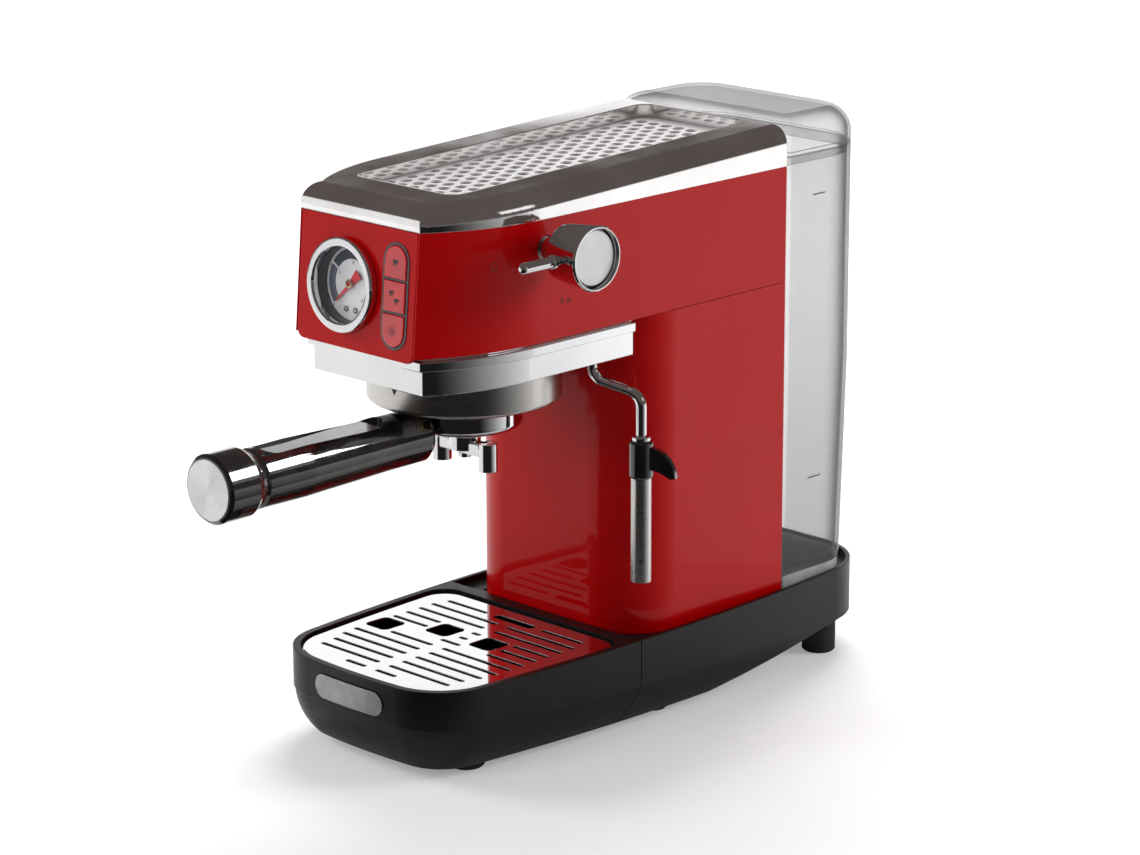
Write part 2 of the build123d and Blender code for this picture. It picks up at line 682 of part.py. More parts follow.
def filter_handle():
    """Black handle: flared end cap, groove and a thumb scoop on top."""
    start_y = -133.6
    profile = Polyline(
        (0, -HANDLE_END_Y),
        (17.2, -HANDLE_END_Y),
        (19.0, -HANDLE_END_Y - 1.8),
        (19.0, -HANDLE_END_Y - 20.0),
        (16.6, -HANDLE_END_Y - 24.5),
        (15.9, -HANDLE_END_Y - 26.5),
        (16.6, -HANDLE_END_Y - 29.0),
        (16.9, -HANDLE_END_Y - 60.0),
        (15.3, 160.0),
        (15.2, -start_y + 3),
        (13.4, -start_y),
        (0, -start_y),
        close=True,
    )
    turned = revolve(make_face(profile), axis=Axis.Y)
    handle = Pos(0, 0, HANDLE_Z) * Rot(0, 0, 180) * turned
    length = 88.0
    scoop = RectangleRounded(19.0, length, 9.4)
    middle = Plane(origin=(0, -207.0, HANDLE_Z + 12.6), x_dir=(1, 0, 0), z_dir=(0, 0, 1))
    handle = handle - extrude(middle * scoop, amount=10)
    disc_seat = rod((0, HANDLE_END_Y - 1, HANDLE_Z), (0, HANDLE_END_Y + 1.6, HANDLE_Z), 16.9)
    stub = rod((0, -120, 183.6), (0, -140.4, 183.6), 5.3)
    return handle - disc_seat - stub


def handle_disc():
    """Brushed disc let into the handle's end."""
    disc = rod((0, HANDLE_END_Y + 1.5, HANDLE_Z), (0, HANDLE_END_Y - 0.4, HANDLE_Z), 16.7)
    return chamfer(disc.edges().group_by(Axis.Y)[0], 0.4)


def spout():
    """Chrome double spout: hub, bridge and two nozzles."""
    hub = post(9.0, 163.5, 171.2, 0, GROUP_Y)
    bridge = block(-SPOUT_X, SPOUT_X, GROUP_Y - 4.6, GROUP_Y + 4.6, 161.0, 168.5)
    bridge = fillet(bridge.edges().filter_by(Axis.X), 1.6)
    body = hub + bridge
    for side in (-1, 1):
        nozzle = post(5.4, 153.6, 169.5, side * SPOUT_X, GROUP_Y)
        body = body + nozzle
    channel = block(-SPOUT_X, SPOUT_X, GROUP_Y - 2.6, GROUP_Y + 2.6, 164.5, 170.0)
    body = body - (channel - post(9.5, 160, 175, 0, GROUP_Y))
    for side in (-1, 1):
        body = body - post(3.4, 152, 166, side * SPOUT_X, GROUP_Y)
    return body - post(2.1, 155, 175, 0, GROUP_Y)


def spout_screw():
    """Screw that holds the spout to the holder."""
    head = post(3.6, 158.4, 161.0, 0, GROUP_Y)
    return head + post(2.0, 161.0, 171.0, 0, GROUP_Y)


# ---------------------------------------------------------------- gauge
def gauge_place():
    """Plane of the gauge on the leaning panel."""
    return panel_plane(GAUGE_X, GAUGE_Z)


def turned(outer, inner, low, high):
    """Tube or disc on the gauge's axis, heights counted outwards from the panel."""
    body = gauge_place() * Pos(0, 0, (low + high) / 2) * Cylinder(outer, high - low)
    if inner:
        body = body - gauge_place() * Pos(0, 0, (low + high) / 2) * Cylinder(inner, high - low + 2)
    return body


def gauge_housing():
    """Cup behind the panel that carries the dial."""
    return turned(23.2, 0, -24.0, 0.2) - turned(21.6, 0, -6.6, 0.3)


def gauge_bezel():
    """Chrome bezel that stands proud of the panel."""
    bezel = turned(BEZEL_R, 20.6, 0.3, 4.6)
    rim = bezel.edges().filter_by(GeomType.CIRCLE).group_by(Axis.Y)[0]
    return fillet(rim, 1.3)


def gauge_dial():
    """Dial plate with the pivot's hole."""
    return turned(21.3, 1.2, -6.5, -5.7)


def gauge_needle():
    """Needle with a counterweight and a short arbor."""
    plane = gauge_place()
    blade = Polyline((-1.3, -4), (1.3, -4), (0.35, 15.5), (-0.35, 15.5), close=True)
    tail = Polyline((-1.2, 0), (1.2, 0), (3.0, -8.4), (-3.0, -8.4), close=True)
    flat = make_face(blade) + make_face(tail)
    turn = Rot(0, 0, 135)
    needle = extrude(plane * Pos(0, 0, -4.6) * turn * flat, amount=0.6)
    arbor = plane * Pos(0, 0, -4.9) * Cylinder(1.0, 3.0)
    cap = plane * Pos(0, 0, -4.0) * Cylinder(2.3, 0.9)
    return needle + arbor + cap


def gauge_glass():
    """Flat glass held by the bezel."""
    return turned(20.5, 0, 1.2, 2.6)


def gauge_pipe():
    """Thin pressure pipe from the heating block to the gauge."""
    start = (GAUGE_X, -150.6, 264.5)
    points = [start, (GAUGE_X, -146.0, 264.5), (GAUGE_X + 8, -141.0, 264.5), (GAUGE_X + 8, -136.1, 264.5)]
    return pipe(points, 1.2, 1.8)


# ---------------------------------------------------------------- buttons
BUTTON_SPLITS = (-9.1, 8.8)  # dividers, along the panel from the frame's middle


def button_frame():
    """Frame with two bars around the three buttons."""
    plane = panel_plane(BUTTON_X, GAUGE_Z)
    shell = button_stadium(0.0, 9.0) - button_stadium(-1.3, 12.0)
    for split_y in BUTTON_SPLITS:
        shell = shell + Pos(0, split_y, 0) * Box(2 * BUTTON_HALF_W - 2.0, 0.9, 9.0)
    return plane * Pos(0, 0, -4.1) * shell


def button(low, high):
    """One push button, cut from the stadium between two heights."""
    cap = button_stadium(-1.55, 8.0)
    slab = Pos(0, (low + high) / 2, 0) * Box(40, high - low, 20)
    cap = cap & slab
    front = cap.faces().sort_by(Axis.Z)[-1]
    cap = fillet(front.edges(), 0.6)
    return panel_plane(BUTTON_X, GAUGE_Z) * Pos(0, 0, -2.9) * cap


def button_one_cup():
    """Upper button."""
    return button(BUTTON_SPLITS[1] + 0.7, 40)


def button_two_cups():
    """Middle button."""
    return button(BUTTON_SPLITS[0] + 0.7, BUTTON_SPLITS[1] - 0.7)


def button_steam():
    """Lower button."""
    return button(-40, BUTTON_SPLITS[0] - 0.7)


def control_board():
    """Board with three switches behind the buttons and its relays."""
    plane = panel_plane(BUTTON_X, GAUGE_Z)
    board = plane * Pos(0, 0, -15.0) * Box(17.0, 52.0, 1.6)
    for y in (18.8, 0, -19.2):
        board = board + plane * Pos(0, y, -12.0) * Box(6.0, 6.0, 4.4)
    return board


# ---------------------------------------------------------------- steam knob
def steam_knob():
    """Chrome knob: a flared barrel, hollow at its outer end, on a slim neck."""
    profile = Polyline(
        (0, 70.6),
        (6.2, 70.6),
        (6.2, 80.0),
        (14.2, 82.0),
        (15.4, 83.4),
        (KNOB_R, KNOB_X - 1.0),
        (KNOB_R - 0.7, KNOB_X),
        (KNOB_R - 1.5, KNOB_X),
        (KNOB_R - 2.6, KNOB_X - 5.0),
        (0, KNOB_X - 5.0),
        close=True,
    )
    turned_knob = revolve(Plane.XY * make_face(profile), axis=Axis.Y)
    knob = Pos(0, KNOB_Y, KNOB_Z) * Rot(0, 0, -90) * turned_knob
    bore = rod((60, KNOB_Y, KNOB_Z), (90, KNOB_Y, KNOB_Z), 3.05)
    lever_bore = rod((94.5, KNOB_Y - 12, KNOB_Z), (94.5, KNOB_Y - 20, KNOB_Z), 2.4)
    return knob - bore - lever_bore


def knob_disc():
    """Brushed disc in the knob's hollow end."""
    x = KNOB_X - 5.0
    disc = rod((x, KNOB_Y, KNOB_Z), (x + 2.6, KNOB_Y, KNOB_Z), KNOB_R - 2.9)
    return chamfer(disc.edges().group_by(Axis.X)[-1], 0.5)


def knob_lever():
    """Chrome lever pin with a collar, pointing forward."""
    x = 94.5
    pin = rod((x, KNOB_Y - 12.2, KNOB_Z), (x, KNOB_Y - 22, KNOB_Z), 2.3)
    collar = rod((x, KNOB_Y - 20.0, KNOB_Z), (x, KNOB_Y - 23.5, KNOB_Z), 3.9)
    grip = rod((x, KNOB_Y - 23.5, KNOB_Z), (x, KNOB_Y - 45.5, KNOB_Z), 3.2)
    grip = fillet(grip.edges().group_by(Axis.Y)[0], 2.6)
    return pin + fillet(collar.edges(), 0.7) + grip


def valve_spindle():
    """Spindle from the knob into the steam valve."""
    return rod((50.0, KNOB_Y, KNOB_Z), (90.0, KNOB_Y, KNOB_Z), 3.0)


def steam_valve():
    """Valve body with a bore for the spindle and a packing nut."""
    body = block(46, 62, KNOB_Y - 11, KNOB_Y + 11, KNOB_Z - 12, KNOB_Z + 10)
    nut = rod((62, KNOB_Y, KNOB_Z), (67.5, KNOB_Y, KNOB_Z), 6.2)
    bore = rod((49.6, KNOB_Y, KNOB_Z), (70, KNOB_Y, KNOB_Z), 3.06)
    outlet = post(3.1, KNOB_Z - 13, KNOB_Z - 8, 54, KNOB_Y)
    return body + nut - bore - outlet


def steam_pipe():
    """Pipe from the valve to the wand's ball seat."""
    top = (54, KNOB_Y, KNOB_Z - 8.2)
    points = [top, (54, KNOB_Y, 256), (WAND_PIVOT_X, WAND_PIVOT_Y, 256), (WAND_PIVOT_X, WAND_PIVOT_Y, 230.5)]
    line = pipe(points, 3.0, 9.0)
    flange = post(6.4, 227.4, 230.5, WAND_PIVOT_X, WAND_PIVOT_Y)
    return line + flange


# ---------------------------------------------------------------- steam wand
def wand_tube():
    """Chrome wand: swivel ball, double bend and straight nozzle tube."""
    points = [
        (WAND_PIVOT_X, WAND_PIVOT_Y, 220.0),
        (WAND_PIVOT_X, WAND_PIVOT_Y, 203.5),
        (WAND_X, WAND_Y, 196.5),
        (WAND_X, WAND_Y, 100.0),
    ]
    tube = pipe(points, WAND_R, 9.0)
    ball = Pos(WAND_PIVOT_X, WAND_PIVOT_Y, 221.4) * Sphere(5.6)
    return tube + ball


def wand_nut():
    """Chrome collar nut above the grip."""
    nut = ring(5.2, WAND_R + 0.02, 170.6, 173.2, WAND_X, WAND_Y)
    return chamfer(nut.edges().filter_by(GeomType.CIRCLE).group_by(Axis.Z)[-1], 0.5)


def wand_grip():
    """Black grip with a curved fin that keeps fingers off the hot tube."""
    grip = post(6.8, 149.6, 170.4, WAND_X, WAND_Y)
    grip = fillet(grip.edges(), 1.2)
    fin_profile = Spline((5.5, 167.5), (13.5, 164.5), (18.8, 158.0), (20.8, 150.8))
    back = Line((20.8, 150.8), (17.4, 150.2))
    under = Spline((17.4, 150.2), (12.0, 153.2), (5.5, 154.4))
    root = Line((5.5, 154.4), (5.5, 167.5))
    face = make_face([fin_profile, back, under, root])
    turn = degrees(atan((WAND_Y - WAND_PIVOT_Y) / (WAND_X - WAND_PIVOT_X)))
    fin = extrude(Plane.XZ * face, amount=1.9, both=True)
    fin = Pos(WAND_X, WAND_Y, 0) * Rot(0, 0, turn) * fin
    return grip + fin - post(WAND_R + 0.02, 140, 180, WAND_X, WAND_Y)


def frothing_sleeve():
    """Brushed sleeve that pulls off downwards, with an air hole."""
    sleeve = ring(5.8, 4.0, SLEEVE_LOW_Z, 149.4, WAND_X, WAND_Y)
    sleeve = sleeve - rod((WAND_X, WAND_Y, 103.0), (WAND_X + 9, WAND_Y - 9, 103.0), 0.8)
    collar = ring(5.0, WAND_R + 0.06, 141.0, 149.4, WAND_X, WAND_Y)
    return sleeve + collar


# ---------------------------------------------------------------- heating and pumping
def heating_block():
    """Cast heating block in the head, screwed down on the group head."""
    core = block(-41, 41, -136, -60, NECK_Z + 5.0, 288)
    core = fillet(core.edges().filter_by(Axis.Z), 12)
    ribs = [block(-38, 38, y, y + 3, 288, 292) for y in range(-128, -66, 10)]
    for rib in ribs:
        core = core + rib
    return core


def pump():
    """Vibration pump standing in the column."""
    body = post(17, 96, 150, -24, 24)
    coil = block(-42, -6, 6, 42, 104, 142)
    inlet = post(5, 84, 96, -24, 24)
    outlet = post(6, 150, 168, -24, 24)
    return body + coil + inlet + outlet - post(3.1, 83, 92, -24, 24) - post(2.6, 160, 169, -24, 24)


def pump_mounts():
    """Two rubber rings that carry the pump, on feet that stand on the deck and back panel."""
    low = block(-46, -2, 2, 46, 90, 95.8) - post(5.2, 80, 100, -24, 24)
    legs = [block(x, x + 6, 2, 46, DECK_Z - 3.0, 90) for x in (-52, 4)]
    bridge = block(-52, 10, 2, 46, 88, 90) - post(5.2, 80, 100, -24, 24)
    high = ring(22, 6.1, 150.2, 156, -24, 24)
    return Compound(children=[low + bridge + legs[0] + legs[1], high])


def suction_hose():
    """Hose from the tank socket to the pump."""
    x, y = TANK_PORT
    points = [(x, y, 44.0), (x, y, 32.0), (-24, 60, 30.0), (-24, 24, 44.0), (-24, 24, 91.8)]
    return pipe(points, 3.0, 7.0)


def pressure_pipe():
    """Pipe from the pump to the heating block."""
    points = [(-24, 24, 160.2), (-24, 24, 262.0), (-24, -59.8, 262.0)]
    return pipe(points, 2.5, 14.0)


# ---------------------------------------------------------------- water tank
def tank_block(inset, low, high):
    """Tank as one solid, drawn in a little towards its foot."""
    waist = 180.0
    stages = ((low, 67.2, 161.5, 29.0), (waist, BODY_HALF, TANK_REAR_Y, TANK_CORNER_R))
    faces = []
    for z, half, rear, corner in stages:
        face = tank_face(half - inset, rear - inset, corner - inset, TANK_FRONT_Y + inset)
        faces.append(Pos(0, 0, z) * face)
    lower = loft(faces, ruled=True)
    face = tank_face(BODY_HALF - inset, TANK_REAR_Y - inset, TANK_CORNER_R - inset, TANK_FRONT_Y + inset)
    return lower + raised(face, waist, high)


def water_tank():
    """Smoked transparent tank, open above, with an outlet in its floor."""
    tank = tank_block(0, TANK_LOW_Z, TANK_HIGH_Z)
    tank = tank - tank_block(TANK_WALL, TANK_LOW_Z + 3.0, TANK_HIGH_Z + 1)
    collar = ring(11.0, 8.0, TANK_LOW_Z + 2.5, TANK_LOW_Z + 14.0, *TANK_PORT)
    step = block(-64, -4, 95, 132, TANK_LOW_Z + 2.5, TANK_LOW_Z + 9.0)
    step = step - post(10.5, TANK_LOW_Z, TANK_LOW_Z + 12, *TANK_PORT)
    tank = tank + step + collar - post(6.2, TANK_LOW_Z - 1, TANK_LOW_Z + 20, *TANK_PORT)
    return tank - post(8.0, TANK_LOW_Z + 3.0, TANK_LOW_Z + 20, *TANK_PORT)


def tank_lid():
    """Smoked lid with a large round shoulder."""
    outer = lid_block(0, TANK_HIGH_Z + GAP, LID_TOP_Z)
    inner = lid_block(2.0, TANK_HIGH_Z - 1, LID_TOP_Z - 2.0)
    inside = raised(tank_face(64.3, 162.1, 27.6, 96.6), TANK_HIGH_Z - 6.0, TANK_HIGH_Z + 4)
    skirt = raised(tank_face(65.9, 163.7, 29.2, 95.0), TANK_HIGH_Z - 5.0, TANK_HIGH_Z + 1)
    web = raised(tank_face(67.5, 165.3, 30.8, 92.6), TANK_HIGH_Z + GAP, TANK_HIGH_Z + 2.0)
    return outer - inner + (skirt + web - inside)


def lid_block(inset, low, high):
    """Lid as one solid, round along the sides and the rear."""
    face = tank_face(BODY_HALF - inset, TANK_REAR_Y - inset, TANK_CORNER_R - inset, TANK_FRONT_Y - 0.8 + inset)
    solid = raised(face, low, high)
    top = solid.faces().sort_by(Axis.Z)[-1].edges()
    shoulder = [e for e in top if e.center().Y > TANK_FRONT_Y + 3 + inset]
    return fillet(shoulder, 15.0 - inset)


def tank_valve():
    """Spring plunger in the tank's outlet."""
    x, y = TANK_PORT
    seat = post(7.6, TANK_LOW_Z + 4.0, TANK_LOW_Z + 7.0, x, y)
    stem = post(2.0, TANK_LOW_Z + 1.4, TANK_LOW_Z + 24.0, x, y)
    head = post(5.0, TANK_LOW_Z + 20.0, TANK_LOW_Z + 24.0, x, y)
    return seat + stem + head


def tank_socket():
    """Black plinth that the tank stands on, with a nipple for its outlet."""
    plinth = raised(tank_face(66.4, 160.4, 28.0, 93.0), DECK_Z, TANK_LOW_Z - 0.2)
    plinth = plinth & raised(base_face(3.2), DECK_Z - 1, TANK_LOW_Z)
    x, y = TANK_PORT
    plinth = plinth - post(12.0, DECK_Z - 1, TANK_LOW_Z + 1, x, y)
    floor = post(12.0, DECK_Z, DECK_Z + 2.5, x, y)
    nipple = post(4.2, 43.0, TANK_LOW_Z + 1.0, x, y) + post(9.2, 46.0, DECK_Z + 1, x, y)
    return plinth + floor + nipple - post(3.1, 42, 46, x, y) - post(1.6, 40, 70, x, y)


# ---------------------------------------------------------------- every piece
PIECES = [
    base_chassis,
    base_plate,
    housing_screws,
    middle_feet,
    rear_feet,
    mains_gland,
    drip_tray,
    tray_feet,
    tray_badge,
    drip_grille,
    overflow_float,
    column_shell,
    head_shell,
    front_panel,
    back_panel,
    top_cover,
    cup_plate,
    collar_bar,
    collar_trim,
    group_ring,
    group_head,
    group_seal,
    shower_screen,
    filter_holder,
    filter_basket,
    filter_handle,
    handle_disc,
    spout,
    spout_screw,
    gauge_housing,
    gauge_bezel,
    gauge_dial,
    gauge_needle,
    gauge_glass,
    gauge_pipe,
    button_frame,
    button_one_cup,
    button_two_cups,
    button_steam,
    control_board,
    steam_knob,
    knob_disc,
    knob_lever,
    valve_spindle,
    steam_valve,
    steam_pipe,
    wand_tube,
    wand_nut,
    wand_grip,
    frothing_sleeve,
    heating_block,
    pump,
    pump_mounts,
    suction_hose,
    pressure_pipe,
    water_tank,
    tank_lid,
    tank_valve,
    tank_socket,
]


def main():
    """Write one STEP file for each piece."""
    os.makedirs("parts", exist_ok=True)
    for piece in PIECES:
        solid = piece()
        export_step(solid, f"parts/{piece.__name__}.step")
        print(piece.__name__, len(solid.solids()), round(solid.volume))


main()
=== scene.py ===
import bpy
import bmesh
import json
from math import atan2, cos, pi, radians, sin
from mathutils import Matrix, Vector


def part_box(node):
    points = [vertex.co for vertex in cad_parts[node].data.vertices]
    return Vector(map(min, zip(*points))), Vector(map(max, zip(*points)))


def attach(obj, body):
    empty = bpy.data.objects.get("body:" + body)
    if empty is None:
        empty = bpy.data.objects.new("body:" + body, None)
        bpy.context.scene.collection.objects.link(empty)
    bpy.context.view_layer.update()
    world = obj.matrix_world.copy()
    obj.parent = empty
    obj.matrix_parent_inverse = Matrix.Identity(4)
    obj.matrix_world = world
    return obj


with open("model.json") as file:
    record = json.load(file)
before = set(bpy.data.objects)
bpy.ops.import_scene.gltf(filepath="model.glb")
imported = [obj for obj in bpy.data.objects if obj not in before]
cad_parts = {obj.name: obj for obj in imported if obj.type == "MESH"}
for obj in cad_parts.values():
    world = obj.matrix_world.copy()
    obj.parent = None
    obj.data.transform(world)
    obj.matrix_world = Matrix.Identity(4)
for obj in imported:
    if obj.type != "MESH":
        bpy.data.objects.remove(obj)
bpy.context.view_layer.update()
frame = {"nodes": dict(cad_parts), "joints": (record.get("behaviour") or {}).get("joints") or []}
NODES = frame["nodes"]
JOINTS = {joint["name"]: joint for joint in frame["joints"]}
MM = 0.001
UP = Vector((0, 0, 1))

# ---------------------------------------------------------------- camera
CAMERA_PLACE = Vector((1.4083, -1.4447, 0.7195))
CAMERA_AZIMUTH = radians(44.582)
CAMERA_PITCH = radians(15.635)
CAMERA_ROLL = radians(-0.157)
CAMERA_LENS = 115.37
SENSOR_WIDTH = 36.0
CLIP_END = 100


def make_camera():
    """Camera to the front right of the machine, looking a little down at it."""
    data = bpy.data.cameras.new("camera")
    data.lens = CAMERA_LENS
    data.sensor_width = SENSOR_WIDTH
    data.clip_end = CLIP_END
    camera = bpy.data.objects.new("camera", data)
    back = Vector((
        sin(CAMERA_AZIMUTH) * cos(CAMERA_PITCH),
        -cos(CAMERA_AZIMUTH) * cos(CAMERA_PITCH),
        sin(CAMERA_PITCH),
    ))
    turn = (-back).to_track_quat("-Z", "Y").to_matrix().to_4x4() @ Matrix.Rotation(CAMERA_ROLL, 4, "Z")
    camera.matrix_world = Matrix.Translation(CAMERA_PLACE) @ turn
    bpy.context.scene.collection.objects.link(camera)
    bpy.context.scene.camera = camera


# ---------------------------------------------------------------- studio
AMBIENT = 0.36  # soft white light on every matt surface
AMBIENT_COLOUR = (1, 0.99, 0.98, 1)
DOME = (0.105, 0.088, 0.082)  # dark ceiling that glossy surfaces mirror
FLOOR_SIZE = 12.0
FLOOR_SIDES = 96
FLOOR_WHITE = (0.62, 0.62, 0.617)
FLOOR_GLOW = (0.28, 0.75)  # the eye sees the floor this much lighter, near and far
FLOOR_GLOW_REACH = (0.5, 2.2)  # distances from the machine between which that grows
SECTOR_STEPS = 48
SECTOR_LIFT = 2 * MM  # floor sectors lie this far above the floor
SECTOR_FAR = 6.0
FLAG_NEAR = 0.25  # the dark part of the floor starts this far from the machine
FLAG_LEFT_NEAR = 2.4
GLOW_NEAR = 0.32
DUSK_LEFT = -100  # ends of the sectors round the machine, degrees from its front
DUSK_FIRST = -12
DUSK_START = 66  # the dark part of the floor starts to grow lighter here
DUSK_STOP = 122
GLOW_STOP = 165
DARK = 0.012
DARK_LEFT = 0.02
DUSK_RISE = 0.74
DUSK_CURVE = 1.5
GLOW = 0.75
GLOW_RISE = 0.45
HEART = (0, -0.03, 0.18)  # point that the softboxes face
GRIP = (0, -0.21, 0.18)  # middle of the filter holder's handle


def make_world():
    """White surround for the eye, soft white light for matt surfaces, dark ceiling for mirrors."""
    world = bpy.data.worlds.new("studio")
    bpy.context.scene.world = world
    world.use_nodes = True
    nodes, links = world.node_tree.nodes, world.node_tree.links
    nodes.clear()
    out = nodes.new("ShaderNodeOutputWorld")
    path = nodes.new("ShaderNodeLightPath")
    white = nodes.new("ShaderNodeBackground")
    white.inputs["Color"].default_value = (1, 1, 1, 1)
    white.inputs["Strength"].default_value = 1.0
    ambient = nodes.new("ShaderNodeBackground")
    ambient.inputs["Color"].default_value = AMBIENT_COLOUR
    ambient.inputs["Strength"].default_value = AMBIENT
    dome = nodes.new("ShaderNodeBackground")
    dome.inputs["Color"].default_value = (*DOME, 1)
    dome.inputs["Strength"].default_value = 1.0
    matt = nodes.new("ShaderNodeMixShader")
    links.new(path.outputs["Is Glossy Ray"], matt.inputs[0])
    links.new(ambient.outputs[0], matt.inputs[1])
    links.new(dome.outputs[0], matt.inputs[2])
    either = nodes.new("ShaderNodeMath")
    either.operation = "MAXIMUM"
    links.new(path.outputs["Is Camera Ray"], either.inputs[0])
    links.new(path.outputs["Is Transmission Ray"], either.inputs[1])
    seen = nodes.new("ShaderNodeMixShader")
    links.new(either.outputs[0], seen.inputs[0])
    links.new(matt.outputs[0], seen.inputs[1])
    links.new(white.outputs[0], seen.inputs[2])
    links.new(seen.outputs[0], out.inputs[0])


def aim(thing, place, target):
    """Put a light or card at a place, facing a target."""
    place, target = Vector(place), Vector(target)
    turn = (target - place).to_track_quat("-Z", "Y").to_matrix().to_4x4()
    thing.matrix_world = Matrix.Translation(place) @ turn


def softbox(name, place, target, size, power, mirrored=False, only=()):
    """Large area light; mirrors see it only where asked, and it may light only some nodes."""
    data = bpy.data.lights.new(name, "AREA")
    data.shape = "RECTANGLE"
    data.size, data.size_y = size
    data.energy = power
    light = bpy.data.objects.new(name, data)
    bpy.context.scene.collection.objects.link(light)
    aim(light, place, target)
    light.visible_glossy = mirrored
    light.visible_camera = False
    if only:
        lit = bpy.data.collections.new(name)
        for node in only:
            lit.objects.link(NODES[node])
        light.light_linking.receiver_collection = lit


def card(name, place, target, size, strength):
    """White card that only mirrors see."""
    w, h = size[0] / 2, size[1] / 2
    mesh = bpy.data.meshes.new(name)
    mesh.from_pydata([(-w, -h, 0), (w, -h, 0), (w, h, 0), (-w, h, 0)], [], [(0, 1, 2, 3)])
    aim(only_mirrored(name, mesh, strength), place, target)


def sector(name, start, stop, near, shade):
    """Sector of the floor that only mirrors see; shade gives its light from 0 to 1 along the turn."""
    points, shades = [], []
    for i in range(SECTOR_STEPS + 1):
        turn = radians(start + (stop - start) * i / SECTOR_STEPS)
        for reach in (near, SECTOR_FAR):
            points.append((reach * sin(turn), -reach * cos(turn), SECTOR_LIFT))
            shades += [shade(i / SECTOR_STEPS)] * 3 + [1.0]
    faces = [(2 * i, 2 * i + 1, 2 * i + 3, 2 * i + 2) for i in range(SECTOR_STEPS)]
    mesh = bpy.data.meshes.new(name)
    mesh.from_pydata(points, [], faces)
    mesh.color_attributes.new("shade", "FLOAT_COLOR", "POINT").data.foreach_set("color", shades)
    only_mirrored(name, mesh, 1.0, "shade")


def make_dusk():
    """Floor for mirrors: dark in front and far to the left, growing light to the rear right."""
    sector("dusk_front", DUSK_FIRST, DUSK_START, FLAG_NEAR, lambda t: DARK)
    sector("dusk_right", DUSK_START, DUSK_STOP, FLAG_NEAR, lambda t: DARK + DUSK_RISE * t**DUSK_CURVE)
    sector("dusk_left", DUSK_LEFT, DUSK_FIRST, FLAG_LEFT_NEAR, lambda t: DARK_LEFT)
    sector("glow_right", DUSK_STOP, GLOW_STOP, GLOW_NEAR, lambda t: GLOW + GLOW_RISE * min(1.0, 4 * t))


def only_mirrored(name, mesh, strength, attribute=""):
    """Glowing surface that only glossy surfaces see, its colour even or from an attribute."""
    material = bpy.data.materials.new(name)
    material.use_nodes = True
    nodes, links = material.node_tree.nodes, material.node_tree.links
    nodes.clear()
    glow = nodes.new("ShaderNodeEmission")
    glow.inputs["Strength"].default_value = strength
    out = nodes.new("ShaderNodeOutputMaterial")
    links.new(glow.outputs[0], out.inputs[0])
    if attribute:
        shade = nodes.new("ShaderNodeAttribute")
        shade.attribute_name = attribute
        links.new(shade.outputs["Color"], glow.inputs["Color"])
    mesh.materials.append(material)
    thing = bpy.data.objects.new(name, mesh)
    bpy.context.scene.collection.objects.link(thing)
    thing.visible_camera = False
    thing.visible_diffuse = False
    thing.visible_shadow = False
    thing.visible_transmission = False
    return thing


def make_floor():
    """Plain pale floor."""
    mesh = bpy.data.meshes.new("floor")
    around = [2 * pi * i / FLOOR_SIDES for i in range(FLOOR_SIDES)]
    corners = [(FLOOR_SIZE * cos(a), FLOOR_SIZE * sin(a), 0) for a in around]
    mesh.from_pydata(corners, [], [range(FLOOR_SIDES)])
    material, bsdf = principled("floor_white", FLOOR_WHITE, 0.6)
    bsdf.inputs["Specular IOR Level"].default_value = 0.0
    nodes, links = material.node_tree.nodes, material.node_tree.links
    path = nodes.new("ShaderNodeLightPath")
    glow = nodes.new("ShaderNodeEmission")
    lit = nodes.new("ShaderNodeMath")
    lit.operation = "MULTIPLY"
    links.new(path.outputs["Is Camera Ray"], lit.inputs[0])
    reach = nodes.new("ShaderNodeVectorMath")
    reach.operation = "LENGTH"
    links.new(place_nodes(material), reach.inputs[0])
    links.new(span(material, reach.outputs["Value"], *FLOOR_GLOW, *FLOOR_GLOW_REACH), lit.inputs[1])
    links.new(lit.outputs[0], glow.inputs["Strength"])
    both = nodes.new("ShaderNodeAddShader")
    links.new(bsdf.outputs[0], both.inputs[0])
    links.new(glow.outputs[0], both.inputs[1])
    links.new(both.outputs[0], nodes["Material Output"].inputs["Surface"])
    mesh.materials.append(material)
    floor = bpy.data.objects.new("floor", mesh)
    bpy.context.scene.collection.objects.link(floor)


def make_lights():
    """Soft lights around the machine, and cards and dark floor sectors for its mirrors."""
    softbox("key", (-1.75, -0.95, 1.05), HEART, (0.9, 0.9), 26)
    softbox("front", (-0.35, -2.1, 0.95), HEART, (0.7, 0.7), 9)
    softbox("side", (1.5, 1.5, 0.95), HEART, (1.0, 0.9), 28)
    softbox("back", (-0.75, 1.15, 1.45), HEART, (1.1, 1.1), 42)
    softbox("strip", (0.73, 0.82, 1.0), GRIP, (0.8, 0.5), 55, True, ["filter_handle"])
    card("card_behind", (-1.20, 1.20, 0.33), (0, 0, 0.33), (2.6, 0.80), 1.15)
    card("card_left", (-1.20, -1.35, 0.30), (0, -0.15, 0.30), (0.35, 0.9), 0.9)
    card("card_right", (1.9, 0.9, 1.0), (0, 0, 0.25), (0.9, 0.5), 1.0)
    make_dusk()


# ---------------------------------------------------------------- material tools
BEVEL_SAMPLES = 6
PEEL_DEPTH = 0.00006  # depths of relief
GRAIN_DEPTH = 0.00008
BRUSH_DEPTH = 0.00005
DUST_DEPTH = 0.0001


def principled(name, colour, roughness, metallic=0.0):
    """New material with one Principled shader."""
    material = bpy.data.materials.new(name)
    material.use_nodes = True
    bsdf = material.node_tree.nodes["Principled BSDF"]
    bsdf.inputs["Base Color"].default_value = (*colour, 1)
    bsdf.inputs["Roughness"].default_value = roughness
    bsdf.inputs["Metallic"].default_value = metallic
    return material, bsdf


